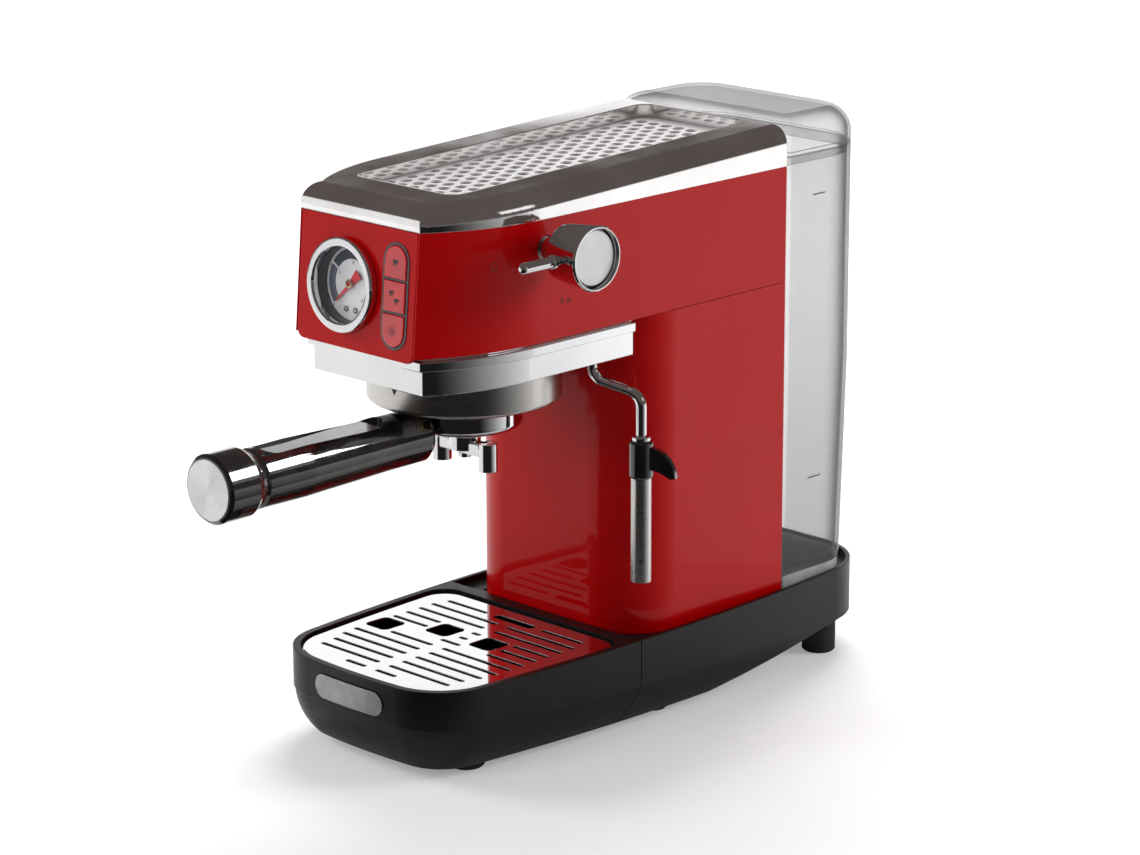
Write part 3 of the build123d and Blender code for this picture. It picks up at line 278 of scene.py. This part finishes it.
def place_nodes(material, centre=(0, 0, 0), scale=(1, 1, 1)):
    """Object coordinates moved to a centre and scaled."""
    nodes, links = material.node_tree.nodes, material.node_tree.links
    coords = nodes.new("ShaderNodeTexCoord")
    shift = nodes.new("ShaderNodeVectorMath")
    shift.operation = "SUBTRACT"
    shift.inputs[1].default_value = centre
    links.new(coords.outputs["Object"], shift.inputs[0])
    stretch = nodes.new("ShaderNodeVectorMath")
    stretch.operation = "MULTIPLY"
    stretch.inputs[1].default_value = scale
    links.new(shift.outputs[0], stretch.inputs[0])
    return stretch.outputs[0]


def ring_coords(material, centre, axis, rings, along):
    """Coordinates that change with the distance from an axis and along it, for turned parts."""
    nodes, links = material.node_tree.nodes, material.node_tree.links
    flat = [0 if i == axis else 1 for i in range(3)]
    radial = nodes.new("ShaderNodeVectorMath")
    radial.operation = "LENGTH"
    links.new(place_nodes(material, centre, flat), radial.inputs[0])
    split = nodes.new("ShaderNodeSeparateXYZ")
    links.new(place_nodes(material, centre, (along, along, along)), split.inputs[0])
    scaled = nodes.new("ShaderNodeMath")
    scaled.operation = "MULTIPLY"
    scaled.inputs[1].default_value = rings
    links.new(radial.outputs["Value"], scaled.inputs[0])
    both = nodes.new("ShaderNodeCombineXYZ")
    links.new(scaled.outputs[0], both.inputs[0])
    links.new(split.outputs[axis], both.inputs[1])
    return both.outputs[0]


def noise(material, coords, scale, detail):
    """Noise texture's value over the given coordinates."""
    nodes, links = material.node_tree.nodes, material.node_tree.links
    texture = nodes.new("ShaderNodeTexNoise")
    texture.inputs["Scale"].default_value = scale
    texture.inputs["Detail"].default_value = detail
    links.new(coords, texture.inputs["Vector"])
    return texture.outputs[0]


def span(material, value, low, high, start=0.3, stop=0.7):
    """A value stretched to a range."""
    nodes, links = material.node_tree.nodes, material.node_tree.links
    reach = nodes.new("ShaderNodeMapRange")
    reach.inputs["From Min"].default_value = start
    reach.inputs["From Max"].default_value = stop
    reach.inputs["To Min"].default_value = low
    reach.inputs["To Max"].default_value = high
    links.new(value, reach.inputs["Value"])
    return reach.outputs[0]


def blend_colour(material, bsdf, value, first, second, start=0.35, stop=0.65):
    """Base colour between two colours by a value."""
    nodes, links = material.node_tree.nodes, material.node_tree.links
    ramp = nodes.new("ShaderNodeValToRGB")
    ramp.color_ramp.elements[0].position = start
    ramp.color_ramp.elements[0].color = (*first, 1)
    ramp.color_ramp.elements[1].position = stop
    ramp.color_ramp.elements[1].color = (*second, 1)
    links.new(value, ramp.inputs[0])
    links.new(ramp.outputs[0], bsdf.inputs["Base Color"])


def bump(material, bsdf, value, strength, distance):
    """Fine relief from a value."""
    nodes, links = material.node_tree.nodes, material.node_tree.links
    relief = nodes.new("ShaderNodeBump")
    relief.inputs["Strength"].default_value = strength
    relief.inputs["Distance"].default_value = distance
    links.new(value, relief.inputs["Height"])
    links.new(relief.outputs[0], bsdf.inputs["Normal"])


def soften(material, bsdf, radius):
    """Light catches sharp edges as if they had a small radius, in millimetres."""
    nodes, links = material.node_tree.nodes, material.node_tree.links
    edge = nodes.new("ShaderNodeBevel")
    edge.samples = BEVEL_SAMPLES
    edge.inputs["Radius"].default_value = radius * MM
    if bsdf.inputs["Normal"].is_linked:
        links.new(edge.outputs[0], bsdf.inputs["Normal"].links[0].from_node.inputs["Normal"])
    else:
        links.new(edge.outputs[0], bsdf.inputs["Normal"])


def link_roughness(material, bsdf, value, low, high):
    """Roughness that follows a value."""
    material.node_tree.links.new(span(material, value, low, high), bsdf.inputs["Roughness"])


# ---------------------------------------------------------------- materials
SPUN_COLOUR = (0.80, 0.80, 0.81)
SPUN_RINGS = 5200  # brushing lines to the metre, outwards and along the axis
SPUN_ALONG = 10
TURNED_RINGS = 900
TURNED_ALONG = 3200
INK_ROUGHNESS = 0.5
SMOKE = (0.030, 0.037, 0.040)


def red_paint():
    """Glossy red enamel with a faint orange peel."""
    material, bsdf = principled("red_paint", (0.33, 0.0, 0.002), 0.34)
    bsdf.inputs["Specular IOR Level"].default_value = 0.08
    bsdf.inputs["Coat Weight"].default_value = 0.34
    bsdf.inputs["Coat Roughness"].default_value = 0.02
    bsdf.inputs["Coat IOR"].default_value = 1.45
    cloud = noise(material, place_nodes(material), 9, 2)
    blend_colour(material, bsdf, cloud, (0.38, 0.0001, 0.0006), (0.45, 0.0002, 0.0011), 0.1, 0.9)
    peel = noise(material, place_nodes(material), 420, 2)
    bump(material, bsdf, peel, 0.06, PEEL_DEPTH)
    gloss = span(material, cloud, 0.26, 0.36, 0.0, 1.0)
    material.node_tree.links.new(gloss, bsdf.inputs["Roughness"])
    soften(material, bsdf, 0.7)
    return material


def red_plastic():
    """Glossy red push button."""
    material, bsdf = principled("red_plastic", (0.50, 0.004, 0.010), 0.14)
    bsdf.inputs["Coat Weight"].default_value = 1.0
    bsdf.inputs["Coat Roughness"].default_value = 0.04
    cloud = noise(material, place_nodes(material), 60, 2)
    blend_colour(material, bsdf, cloud, (0.44, 0.003, 0.007), (0.54, 0.008, 0.014))
    link_roughness(material, bsdf, cloud, 0.14, 0.24)
    return material


def black_base():
    """Satin black moulded plastic with a fine grain."""
    material, bsdf = principled("black_base", (0.009, 0.0088, 0.009), 0.40)
    bsdf.inputs["Specular IOR Level"].default_value = 0.30
    grain = noise(material, place_nodes(material), 2600, 2)
    cloud = noise(material, place_nodes(material), 26, 3)
    blend_colour(material, bsdf, cloud, (0.005, 0.0048, 0.005), (0.008, 0.0076, 0.0078))
    link_roughness(material, bsdf, cloud, 0.30, 0.42)
    bump(material, bsdf, grain, 0.25, GRAIN_DEPTH)
    soften(material, bsdf, 0.6)
    return material


def black_gloss():
    """Polished black phenolic with faint swirls in its gloss."""
    material, bsdf = principled("black_gloss", (0.006, 0.0052, 0.005), 0.09)
    bsdf.inputs["Coat Weight"].default_value = 1.0
    bsdf.inputs["Coat Roughness"].default_value = 0.03
    cloud = noise(material, place_nodes(material), 90, 4)
    blend_colour(material, bsdf, cloud, (0.0045, 0.004, 0.004), (0.009, 0.008, 0.0078))
    link_roughness(material, bsdf, cloud, 0.06, 0.15)
    return material


def chrome(name="chrome", colour=(0.80, 0.80, 0.81), low=0.02, high=0.06):
    """Mirror chrome with a faint haze."""
    material, bsdf = principled(name, colour, low, 1.0)
    haze = noise(material, place_nodes(material), 38, 5)
    link_roughness(material, bsdf, haze, low, high)
    dim = tuple(c * 0.95 for c in colour)
    blend_colour(material, bsdf, haze, dim, colour)
    soften(material, bsdf, 0.7)
    return material


def cover_chrome():
    """Cover's mirror plating with a faint haze and soft edges."""
    material, bsdf = principled("cover_chrome", (0.8, 0.8, 0.8), 0.05, 1.0)
    haze = noise(material, place_nodes(material), 30, 4)
    link_roughness(material, bsdf, haze, 0.035, 0.09)
    blend_colour(material, bsdf, haze, (0.80, 0.78, 0.77), (0.88, 0.87, 0.87))
    soften(material, bsdf, 1.2)
    return material


def brushed(name, colour, coords, low, high, strength=0.25, contrast=0.12):
    """Brushed metal: fine lines in tone, gloss and relief along given coordinates."""
    material, bsdf = principled(name, colour, low, 1.0)
    lines = noise(material, coords(material), 1.0, 4)
    dim = tuple(c * (1 - contrast) for c in colour)
    bright = tuple(min(1.0, c * (1 + contrast)) for c in colour)
    blend_colour(material, bsdf, lines, dim, bright)
    link_roughness(material, bsdf, lines, low, high)
    bump(material, bsdf, lines, strength, BRUSH_DEPTH)
    return material, bsdf


def spun(name, node, axis):
    """Spun disc: concentric rings, with the light fanning out from the middle."""
    low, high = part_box(node)
    centre = (low + high) / 2
    rings = lambda m: ring_coords(m, centre, axis, SPUN_RINGS, SPUN_ALONG)
    material, bsdf = brushed(name, SPUN_COLOUR, rings, 0.24, 0.34, 0.2, 0.06)
    bsdf.inputs["Anisotropic"].default_value = 0.9
    bsdf.inputs["Anisotropic Rotation"].default_value = 0.25
    tangent = material.node_tree.nodes.new("ShaderNodeTangent")
    tangent.direction_type = "RADIAL"
    tangent.axis = "XYZ"[axis]
    material.node_tree.links.new(tangent.outputs[0], bsdf.inputs["Tangent"])
    return material


def turned_steel(name, node, colour=(0.60, 0.58, 0.56)):
    """Steel brushed round an upright axis."""
    low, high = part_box(node)
    centre = (low + high) / 2
    rings = lambda m: ring_coords(m, centre, 2, TURNED_RINGS, TURNED_ALONG)
    return brushed(name, colour, rings, 0.26, 0.31, 0.03, 0.02)[0]


def smoky(name, colour, clear, edge, sharpness, roughness=0.04, gloss=0.5):
    """Tinted clear plastic: more solid where it is seen edge on."""
    material, bsdf = principled(name, colour, roughness)
    nodes, links = material.node_tree.nodes, material.node_tree.links
    bsdf.inputs["IOR"].default_value = 1.5
    facing = nodes.new("ShaderNodeLayerWeight")
    facing.inputs["Blend"].default_value = 0.5
    bend = nodes.new("ShaderNodeMath")
    bend.operation = "POWER"
    bend.inputs[1].default_value = sharpness
    links.new(facing.outputs["Facing"], bend.inputs[0])
    cloud = noise(material, place_nodes(material), 40, 3)
    blend_colour(material, bsdf, cloud, tuple(c * 0.8 for c in colour), colour)
    links.new(span(material, bend.outputs[0], clear, edge, 0.0, 1.0), bsdf.inputs["Alpha"])
    bsdf.inputs["Specular IOR Level"].default_value = gloss
    link_roughness(material, bsdf, cloud, roughness * 0.6, roughness * 1.6)
    return material


def rubber():
    """Black rubber with a dusty grain."""
    material, bsdf = principled("rubber", (0.012, 0.012, 0.012), 0.75)
    dust = noise(material, place_nodes(material), 180, 4)
    blend_colour(material, bsdf, dust, (0.009, 0.009, 0.009), (0.022, 0.021, 0.020))
    bump(material, bsdf, noise(material, place_nodes(material), 900, 3), 0.3, DUST_DEPTH)
    return material


def mottled(name, first, second, roughness, metallic=0.0, scale=60, relief=0.15):
    """Plain finish with tone, gloss and a little relief."""
    material, bsdf = principled(name, first, roughness, metallic)
    cloud = noise(material, place_nodes(material), scale, 4)
    blend_colour(material, bsdf, cloud, first, second)
    link_roughness(material, bsdf, cloud, roughness * 0.8, min(1.0, roughness * 1.2))
    if relief:
        grain = noise(material, place_nodes(material), scale * 16, 3)
        bump(material, bsdf, grain, relief, DUST_DEPTH)
    return material


def print_ink(name, colour):
    """Printed ink with a slightly uneven cover."""
    darker = tuple(c * 0.85 for c in colour)
    return mottled(name, darker, colour, INK_ROUGHNESS, 0.0, 240, 0.0)


def along_y(material):
    """Coordinates for fine lines that run from front to back."""
    return place_nodes(material, scale=(2400, 45, 2400))


def paint_nodes():
    """Finish of every CAD node."""
    red = red_paint()
    black = black_base()
    gloss = black_gloss()
    plated = chrome()
    soft = rubber()
    button_red = red_plastic()
    smoke = smoky("smoked_clear", SMOKE, 0.14, 1.0, 2.0, gloss=0.12)
    smoke_lid = smoky("smoked_lid", SMOKE, 0.13, 1.0, 2.6, gloss=0.4)
    copper = mottled("copper_pipe", (0.62, 0.33, 0.21), (0.74, 0.44, 0.29), 0.22, 1.0, 80, 0.05)
    brass = mottled("brass", (0.62, 0.44, 0.20), (0.74, 0.56, 0.28), 0.26, 1.0, 70, 0.1)
    bright_plate, shine = brushed(
        "bright_plate", (0.82, 0.80, 0.80), along_y, 0.34, 0.46, 0.15, 0.05
    )
    shine.inputs["Metallic"].default_value = 0.35
    steel_flat = brushed("brushed_plate", (0.62, 0.61, 0.60), along_y, 0.16, 0.3)[0]
    finishes = {
        red: ["column_shell", "head_shell", "front_panel"],
        button_red: ["button_one_cup", "button_two_cups", "button_steam"],
        black: ["base_chassis", "base_plate", "drip_tray", "back_panel", "mains_gland",
                "gauge_housing", "overflow_float", "tank_valve"],
        gloss: ["filter_handle", "wand_grip", "button_frame"],
        plated: ["collar_bar", "collar_trim", "filter_holder", "spout", "spout_screw", "gauge_bezel",
                 "steam_knob", "knob_lever", "wand_tube", "wand_nut"],
        cover_chrome(): ["top_cover"],
        chrome("polished_steel", (0.84, 0.85, 0.86), 0.03, 0.07): ["drip_grille"],
        steel_flat: ["shower_screen", "filter_basket"],
        bright_plate: ["cup_plate"],
        turned_steel("turned_ring", "group_ring"): ["group_ring"],
        turned_steel("turned_sleeve", "frothing_sleeve", (0.66, 0.65, 0.63)): ["frothing_sleeve"],
        spun("spun_handle", "handle_disc", 1): ["handle_disc"],
        spun("spun_knob", "knob_disc", 0): ["knob_disc"],
        smoke: ["water_tank"],
        smoke_lid: ["tank_lid"],
        smoky("gauge_glass", (0.85, 0.88, 0.90), 0.02, 0.4, 5.0, 0.02): ["gauge_glass"],
        soft: ["middle_feet", "rear_feet", "tray_feet", "group_seal", "pump_mounts"],
        mottled(
            "badge_field", (0.33, 0.33, 0.335), (0.43, 0.43, 0.435), 0.34, 1.0, 120, 0.1
        ): ["tray_badge"],
        mottled(
            "dial_white", (0.80, 0.81, 0.84), (0.86, 0.87, 0.89), 0.5, 0.0, 160, 0.0
        ): ["gauge_dial"],
        mottled(
            "needle_red", (0.55, 0.01, 0.02), (0.66, 0.02, 0.03), 0.35, 0.0, 200, 0.0
        ): ["gauge_needle"],
        copper: ["gauge_pipe", "steam_pipe", "pressure_pipe"],
        brass: ["group_head", "valve_spindle"],
        mottled("socket_grey", (0.30, 0.31, 0.31), (0.38, 0.39, 0.39), 0.5): ["tank_socket"],
        mottled("board_green", (0.02, 0.10, 0.04), (0.03, 0.15, 0.06), 0.4): ["control_board"],
        mottled(
            "cast_alloy", (0.48, 0.48, 0.48), (0.60, 0.60, 0.60), 0.48, 1.0, 90, 0.4
        ): ["heating_block", "steam_valve"],
        mottled("pump_case", (0.40, 0.37, 0.31), (0.52, 0.48, 0.41), 0.5): ["pump"],
        mottled("hose", (0.62, 0.62, 0.58), (0.74, 0.74, 0.70), 0.3): ["suction_hose"],
        mottled(
            "screw_steel", (0.46, 0.46, 0.46), (0.60, 0.60, 0.60), 0.3, 1.0, 300, 0.1
        ): ["housing_screws"],
    }
    for material, names in finishes.items():
        for name in names:
            node = NODES[name]
            for i in range(len(node.material_slots)):
                node.material_slots[i].material = material


# ---------------------------------------------------------------- mesh tools
ARC_STEPS = 24
LATHE_STEPS = 48
TEXT_THICK = 0.03  # millimetres


def new_piece(name, mesh, material, body, smooth=False):
    """Mesh as a piece that rides on a body."""
    mesh.materials.clear()
    mesh.materials.append(material)
    for face in mesh.polygons:
        face.use_smooth = smooth
    piece = bpy.data.objects.new(name, mesh)
    bpy.context.scene.collection.objects.link(piece)
    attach(piece, body)
    return piece


def to_mesh(name, bm):
    """Mesh data of a finished bmesh."""
    mesh = bpy.data.meshes.new(name)
    bm.to_mesh(mesh)
    bm.free()
    return mesh


def inlay(name, outlines, place, thick, material, body):
    """Flat shapes of a given thickness, drawn in a plane's own x and y, in millimetres."""
    bm = bmesh.new()
    for outline in outlines:
        low = [bm.verts.new(place @ Vector((x * MM, y * MM, 0))) for x, y in outline]
        top = [bm.verts.new(place @ Vector((x * MM, y * MM, thick * MM))) for x, y in outline]
        bm.faces.new(list(reversed(low)))
        bm.faces.new(top)
        for i in range(len(outline)):
            j = (i + 1) % len(outline)
            bm.faces.new((low[i], low[j], top[j], top[i]))
    return new_piece(name, to_mesh(name, bm), material, body)


def arc(radius, start, stop, steps, centre):
    """Points along an arc, angles in degrees."""
    turns = [radians(start + (stop - start) * i / steps) for i in range(steps + 1)]
    return [(centre[0] + radius * cos(a), centre[1] + radius * sin(a)) for a in turns]


def band(outer, inner, start, stop, centre=(0, 0)):
    """Outline of a curved band."""
    return arc(outer, start, stop, ARC_STEPS, centre) + arc(inner, stop, start, ARC_STEPS, centre)


def bar(x0, y0, x1, y1, width):
    """Outline of a straight bar between two points."""
    turn = atan2(y1 - y0, x1 - x0)
    dx, dy = sin(turn) * width / 2, -cos(turn) * width / 2
    return [(x0 + dx, y0 + dy), (x1 + dx, y1 + dy), (x1 - dx, y1 - dy), (x0 - dx, y0 - dy)]


def facing(origin, out, up):
    """Matrix of a plane: x to the right, y up, z out of the surface."""
    out = Vector(out).normalized()
    right = Vector(up).cross(out).normalized()
    true_up = out.cross(right)
    rows = Matrix((right, true_up, out)).transposed().to_4x4()
    return Matrix.Translation(origin) @ rows


def highest(node, origin, out):
    """How far a node reaches out of a plane."""
    return max((vertex.co - origin).dot(out) for vertex in NODES[node].data.vertices)


def numbers(name, items, place, size, material, body):
    """Small printed numbers, each a text with its own centre, in millimetres."""
    bm = bmesh.new()
    for text, x, y in items:
        data = bpy.data.curves.new("text", "FONT")
        data.body = text
        data.size = size * MM
        data.align_x = "CENTER"
        data.align_y = "CENTER"
        data.extrude = TEXT_THICK * MM
        source = bpy.data.objects.new("text", data)
        mesh = bpy.data.meshes.new_from_object(source)
        mesh.transform(place @ Matrix.Translation((x * MM, y * MM, 0)))
        bm.from_mesh(mesh)
        bpy.data.objects.remove(source)
        bpy.data.meshes.remove(mesh)
        bpy.data.curves.remove(data)
    return new_piece(name, to_mesh(name, bm), material, body)


# ---------------------------------------------------------------- gauge
PANEL_OUT = -Vector(JOINTS["needle_turn"]["axis"])
GAUGE_CENTRE = Vector(JOINTS["needle_turn"]["pos_m"])
DIAL_SWEEP = (225, -45)  # first and last mark of the scale, degrees
DIAL_BAND_R = 18.6
DIAL_STEPS = 16  # marks after the first
DIAL_NUMBER_EVERY = 4
DIAL_MARK_R = 20.2
DIAL_NUMBER_R = 11.4
DIAL_NUMBER_SIZE = 2.4
DIAL_SCREW_X = 3.6
DIAL_SCREW_Y = -14.2
HUB_LIFT = 2.2  # needle's hub ring above the dial's print
PRINT_LIFT = 0.02  # prints stand this far off the surface, millimetres
PRINT_THICK = 0.05
ICON_LIFT = 0.01
ICON_THICK = 0.06
SIDE_THICK = 0.04


def dial_face():
    """Plane on the dial's printed side."""
    lift = highest("gauge_dial", GAUGE_CENTRE, PANEL_OUT)
    return facing(GAUGE_CENTRE + PANEL_OUT * (lift + PRINT_LIFT * MM), PANEL_OUT, UP)


def make_dial():
    """Printed scale: blue band, red limit, marks and numbers, and two screw heads; also a black ring
    of painted shade on the bezel's inner wall, and the needle's hub ring.
    """
    place = dial_face()
    blue = print_ink("dial_blue", (0.022, 0.028, 0.058))
    grey = print_ink("dial_grey", (0.10, 0.11, 0.17))
    red = print_ink("dial_red", (0.55, 0.02, 0.02))
    first, last = DIAL_SWEEP
    marks, items = [], []
    for i in range(DIAL_STEPS + 1):
        turn = radians(first + (last - first) * i / DIAL_STEPS)
        x, y = cos(turn), sin(turn)
        inner = 18.9 if i % DIAL_NUMBER_EVERY else 18.3
        marks.append(bar(inner * x, inner * y, DIAL_MARK_R * x, DIAL_MARK_R * y, 0.28))
        if i % DIAL_NUMBER_EVERY == 0:
            items.append((str(i), DIAL_NUMBER_R * x, DIAL_NUMBER_R * y))
    for name, outlines, ink in (
        ("dial_band_high", [band(DIAL_BAND_R, 13.2, 148, 62)], blue),
        ("dial_band_low", [band(DIAL_BAND_R, 14.6, 222, 152)], grey),
        ("dial_band_edge", [band(14.4, 13.4, 222, 152)], blue),
        ("dial_limit", [band(DIAL_BAND_R, 16.6, -45, -28)], red),
        ("dial_marks", marks, blue),
    ):
        inlay(name, outlines, place, PRINT_THICK, ink, "machine")
    numbers("dial_numbers", items, place, DIAL_NUMBER_SIZE, blue, "machine")
    steel = chrome("dial_steel", (0.62, 0.62, 0.62), 0.18, 0.26)
    for side, x in (("left", -DIAL_SCREW_X), ("right", DIAL_SCREW_X)):
        spot = place @ Matrix.Translation((x * MM, DIAL_SCREW_Y * MM, 0))
        stud(f"dial_screw_{side}", spot, 1.7, 0.9, steel, "machine")
    # Black ring on the bezel's inner wall: painted shade standing in for the shadow inside the bezel
    painted_shade_ring = [(21.5, 0.0), (20.1, 0.0), (20.1, 6.2), (20.5, 6.7), (21.5, 6.7)]
    matt = mottled("painted_shade_black", (0.008, 0.008, 0.009), (0.014, 0.014, 0.015), 0.4, 0.0, 200)
    lathe("dial_painted_shade", place, painted_shade_ring, False, matt, "machine")
    hub_ring = [(2.5, 0), (2.5, 0.7), (1.5, 0.9), (1.5, 0)]
    over = Matrix.Translation(PANEL_OUT * HUB_LIFT * MM) @ place
    brass = mottled("hub_brass", (0.45, 0.36, 0.22), (0.60, 0.50, 0.34), 0.3, 1.0, 200, 0.0)
    lathe("needle_hub_ring", over, hub_ring, False, brass, "needle")


def stud(name, place, radius, height, material, body):
    """Small domed stud."""
    profile = [
        (radius, 0),
        (radius, height * 0.55),
        (radius * 0.88, height * 0.85),
        (radius * 0.6, height),
    ]
    return lathe(name, place, profile, True, material, body)


def lathe(name, place, profile, capped, material, body):
    """Turned piece: a profile of radii and heights in millimetres, capped or closed to a ring."""
    bm = bmesh.new()
    turns = [2 * pi * i / LATHE_STEPS for i in range(LATHE_STEPS)]
    rings = []
    for r, h in profile:
        circle = [Vector((r * MM * cos(a), r * MM * sin(a), h * MM)) for a in turns]
        rings.append([bm.verts.new(place @ point) for point in circle])
    pairs = list(zip(rings, rings[1:])) + ([] if capped else [(rings[-1], rings[0])])
    for low, top in pairs:
        for i in range(LATHE_STEPS):
            j = (i + 1) % LATHE_STEPS
            bm.faces.new((low[i], low[j], top[j], top[i]))
    if capped:
        bm.faces.new(rings[-1])
        bm.faces.new(list(reversed(rings[0])))
    return new_piece(name, to_mesh(name, bm), material, body, capped)


# ---------------------------------------------------------------- prints
STEAM_RAYS = 8
FULL_Z = 283.8  # level lines on the tank, millimetres
LOW_Z = 114.6
LEVEL_Y = 118.5
LOCK_MARK_Z = 12  # position mark above the ring's underside
LOCK_MARK_TURN = 2  # degrees to the right of the middle


def cup_outlines(x, y, size):
    """Little cup with a handle, on a saucer."""
    bowl = [(x - size, y + size * 0.75), (x + size, y + size * 0.75)]
    bowl += arc(size, 0, -180, 16, (x, y + size * 0.35))
    ear = band(size * 0.55, size * 0.30, 80, -80, (x + size * 0.95, y + size * 0.25))
    saucer = bar(x - size * 1.1, y - size * 0.95, x + size * 1.1, y - size * 0.95, size * 0.28)
    return [bowl, ear, saucer]


def steam_outlines():
    """Round steam symbol: a ring with short rays."""
    shapes = [band(1.5, 0.9, 0, 180), band(1.5, 0.9, 180, 360)]
    for i in range(STEAM_RAYS):
        turn = 2 * pi * i / STEAM_RAYS
        shapes.append(bar(2.1 * cos(turn), 2.1 * sin(turn), 3.0 * cos(turn), 3.0 * sin(turn), 0.5))
    return shapes


def make_icons():
    """Symbols on the three buttons."""
    ink = print_ink("icon_grey", (0.055, 0.045, 0.05))
    for node, body, shapes in (
        ("button_one_cup", "button_upper", cup_outlines(-0.2, 0.0, 1.7)),
        (
            "button_two_cups",
            "button_middle",
            cup_outlines(-2.2, 1.9, 1.6) + cup_outlines(1.8, -2.0, 1.6),
        ),
        ("button_steam", "button_lower", steam_outlines()),
    ):
        low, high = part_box(node)
        middle = (low + high) / 2
        lift = highest(node, GAUGE_CENTRE, PANEL_OUT)
        flat = (middle - GAUGE_CENTRE).dot(PANEL_OUT)
        place = facing(middle + PANEL_OUT * (lift - flat + ICON_LIFT * MM), PANEL_OUT, UP)
        name = node.replace("button", "icon")
        inlay(name, shapes, place, ICON_THICK, ink, body)


def side_place(y, z):
    """Plane on the machine's right side at a depth and height, in millimetres."""
    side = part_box("column_shell")[1].x
    return facing(Vector((side + PRINT_LIFT * MM, y * MM, z * MM)), (1, 0, 0), UP)


def make_side_marks():
    """Off mark and water and steam marks beside the knob."""
    ink = print_ink("mark_dark", (0.035, 0.012, 0.014))
    ring = [band(2.2, 1.75, 90, 270), band(2.2, 1.75, -90, 90)]
    inlay("mark_off", ring, side_place(-141.9, 284.2), SIDE_THICK, ink, "machine")
    shapes = [band(1.3, 0.9, 90, 270, (-3.0, 0)), band(1.3, 0.9, -90, 90, (-3.0, 0))]
    shapes.append([(-3.9, 0.8), (-3.0, 2.9), (-2.1, 0.8), (-2.5, 0.8), (-3.0, 1.9), (-3.5, 0.8)])
    for i in range(3):
        x = 0.6 + 1.3 * i
        shapes.append(bar(x, -1.3, x + 0.6, 0.2, 0.45))
        shapes.append(bar(x + 0.6, 0.2, x, 1.7, 0.45))
    inlay("mark_steam", shapes, side_place(-88.3, 256.4), SIDE_THICK, ink, "machine")


def make_tank_marks():
    """Level lines on the tank's side."""
    ink = print_ink("mark_black", (0.02, 0.02, 0.022))
    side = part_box("water_tank")[1].x
    for name, z, drop in (("mark_full", FULL_Z, 0.0), ("mark_low", LOW_Z, 0.6)):
        place = facing(Vector((side - drop * MM, LEVEL_Y * MM, z * MM)), (1, 0, 0), UP)
        inlay(name, [bar(-5.5, 0, 5.5, 0, 0.7)], place, ICON_THICK, ink, "tank")


def make_ring_mark():
    """Small triangle that shows where the handle locks."""
    ink = print_ink("mark_ring", (0.02, 0.02, 0.02))
    low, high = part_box("group_ring")
    middle = (low + high) / 2
    radius = (high.x - low.x) / 2
    turn = radians(LOCK_MARK_TURN)
    out = Vector((sin(turn), -cos(turn), 0))
    foot = Vector((middle.x, middle.y, low.z + LOCK_MARK_Z * MM))
    place = facing(foot + out * (radius + PRINT_LIFT * MM), out, UP)
    pointer = [(-2.0, 1.6), (2.0, 1.6), (0, -1.9)]
    inlay("mark_lock", [pointer], place, PRINT_THICK, ink, "machine")


make_camera()
make_world()
make_floor()
make_lights()
paint_nodes()
make_dial()
make_icons()
make_side_marks()
make_tank_marks()
make_ring_mark()
bpy.context.scene.view_settings.view_transform = "Standard"
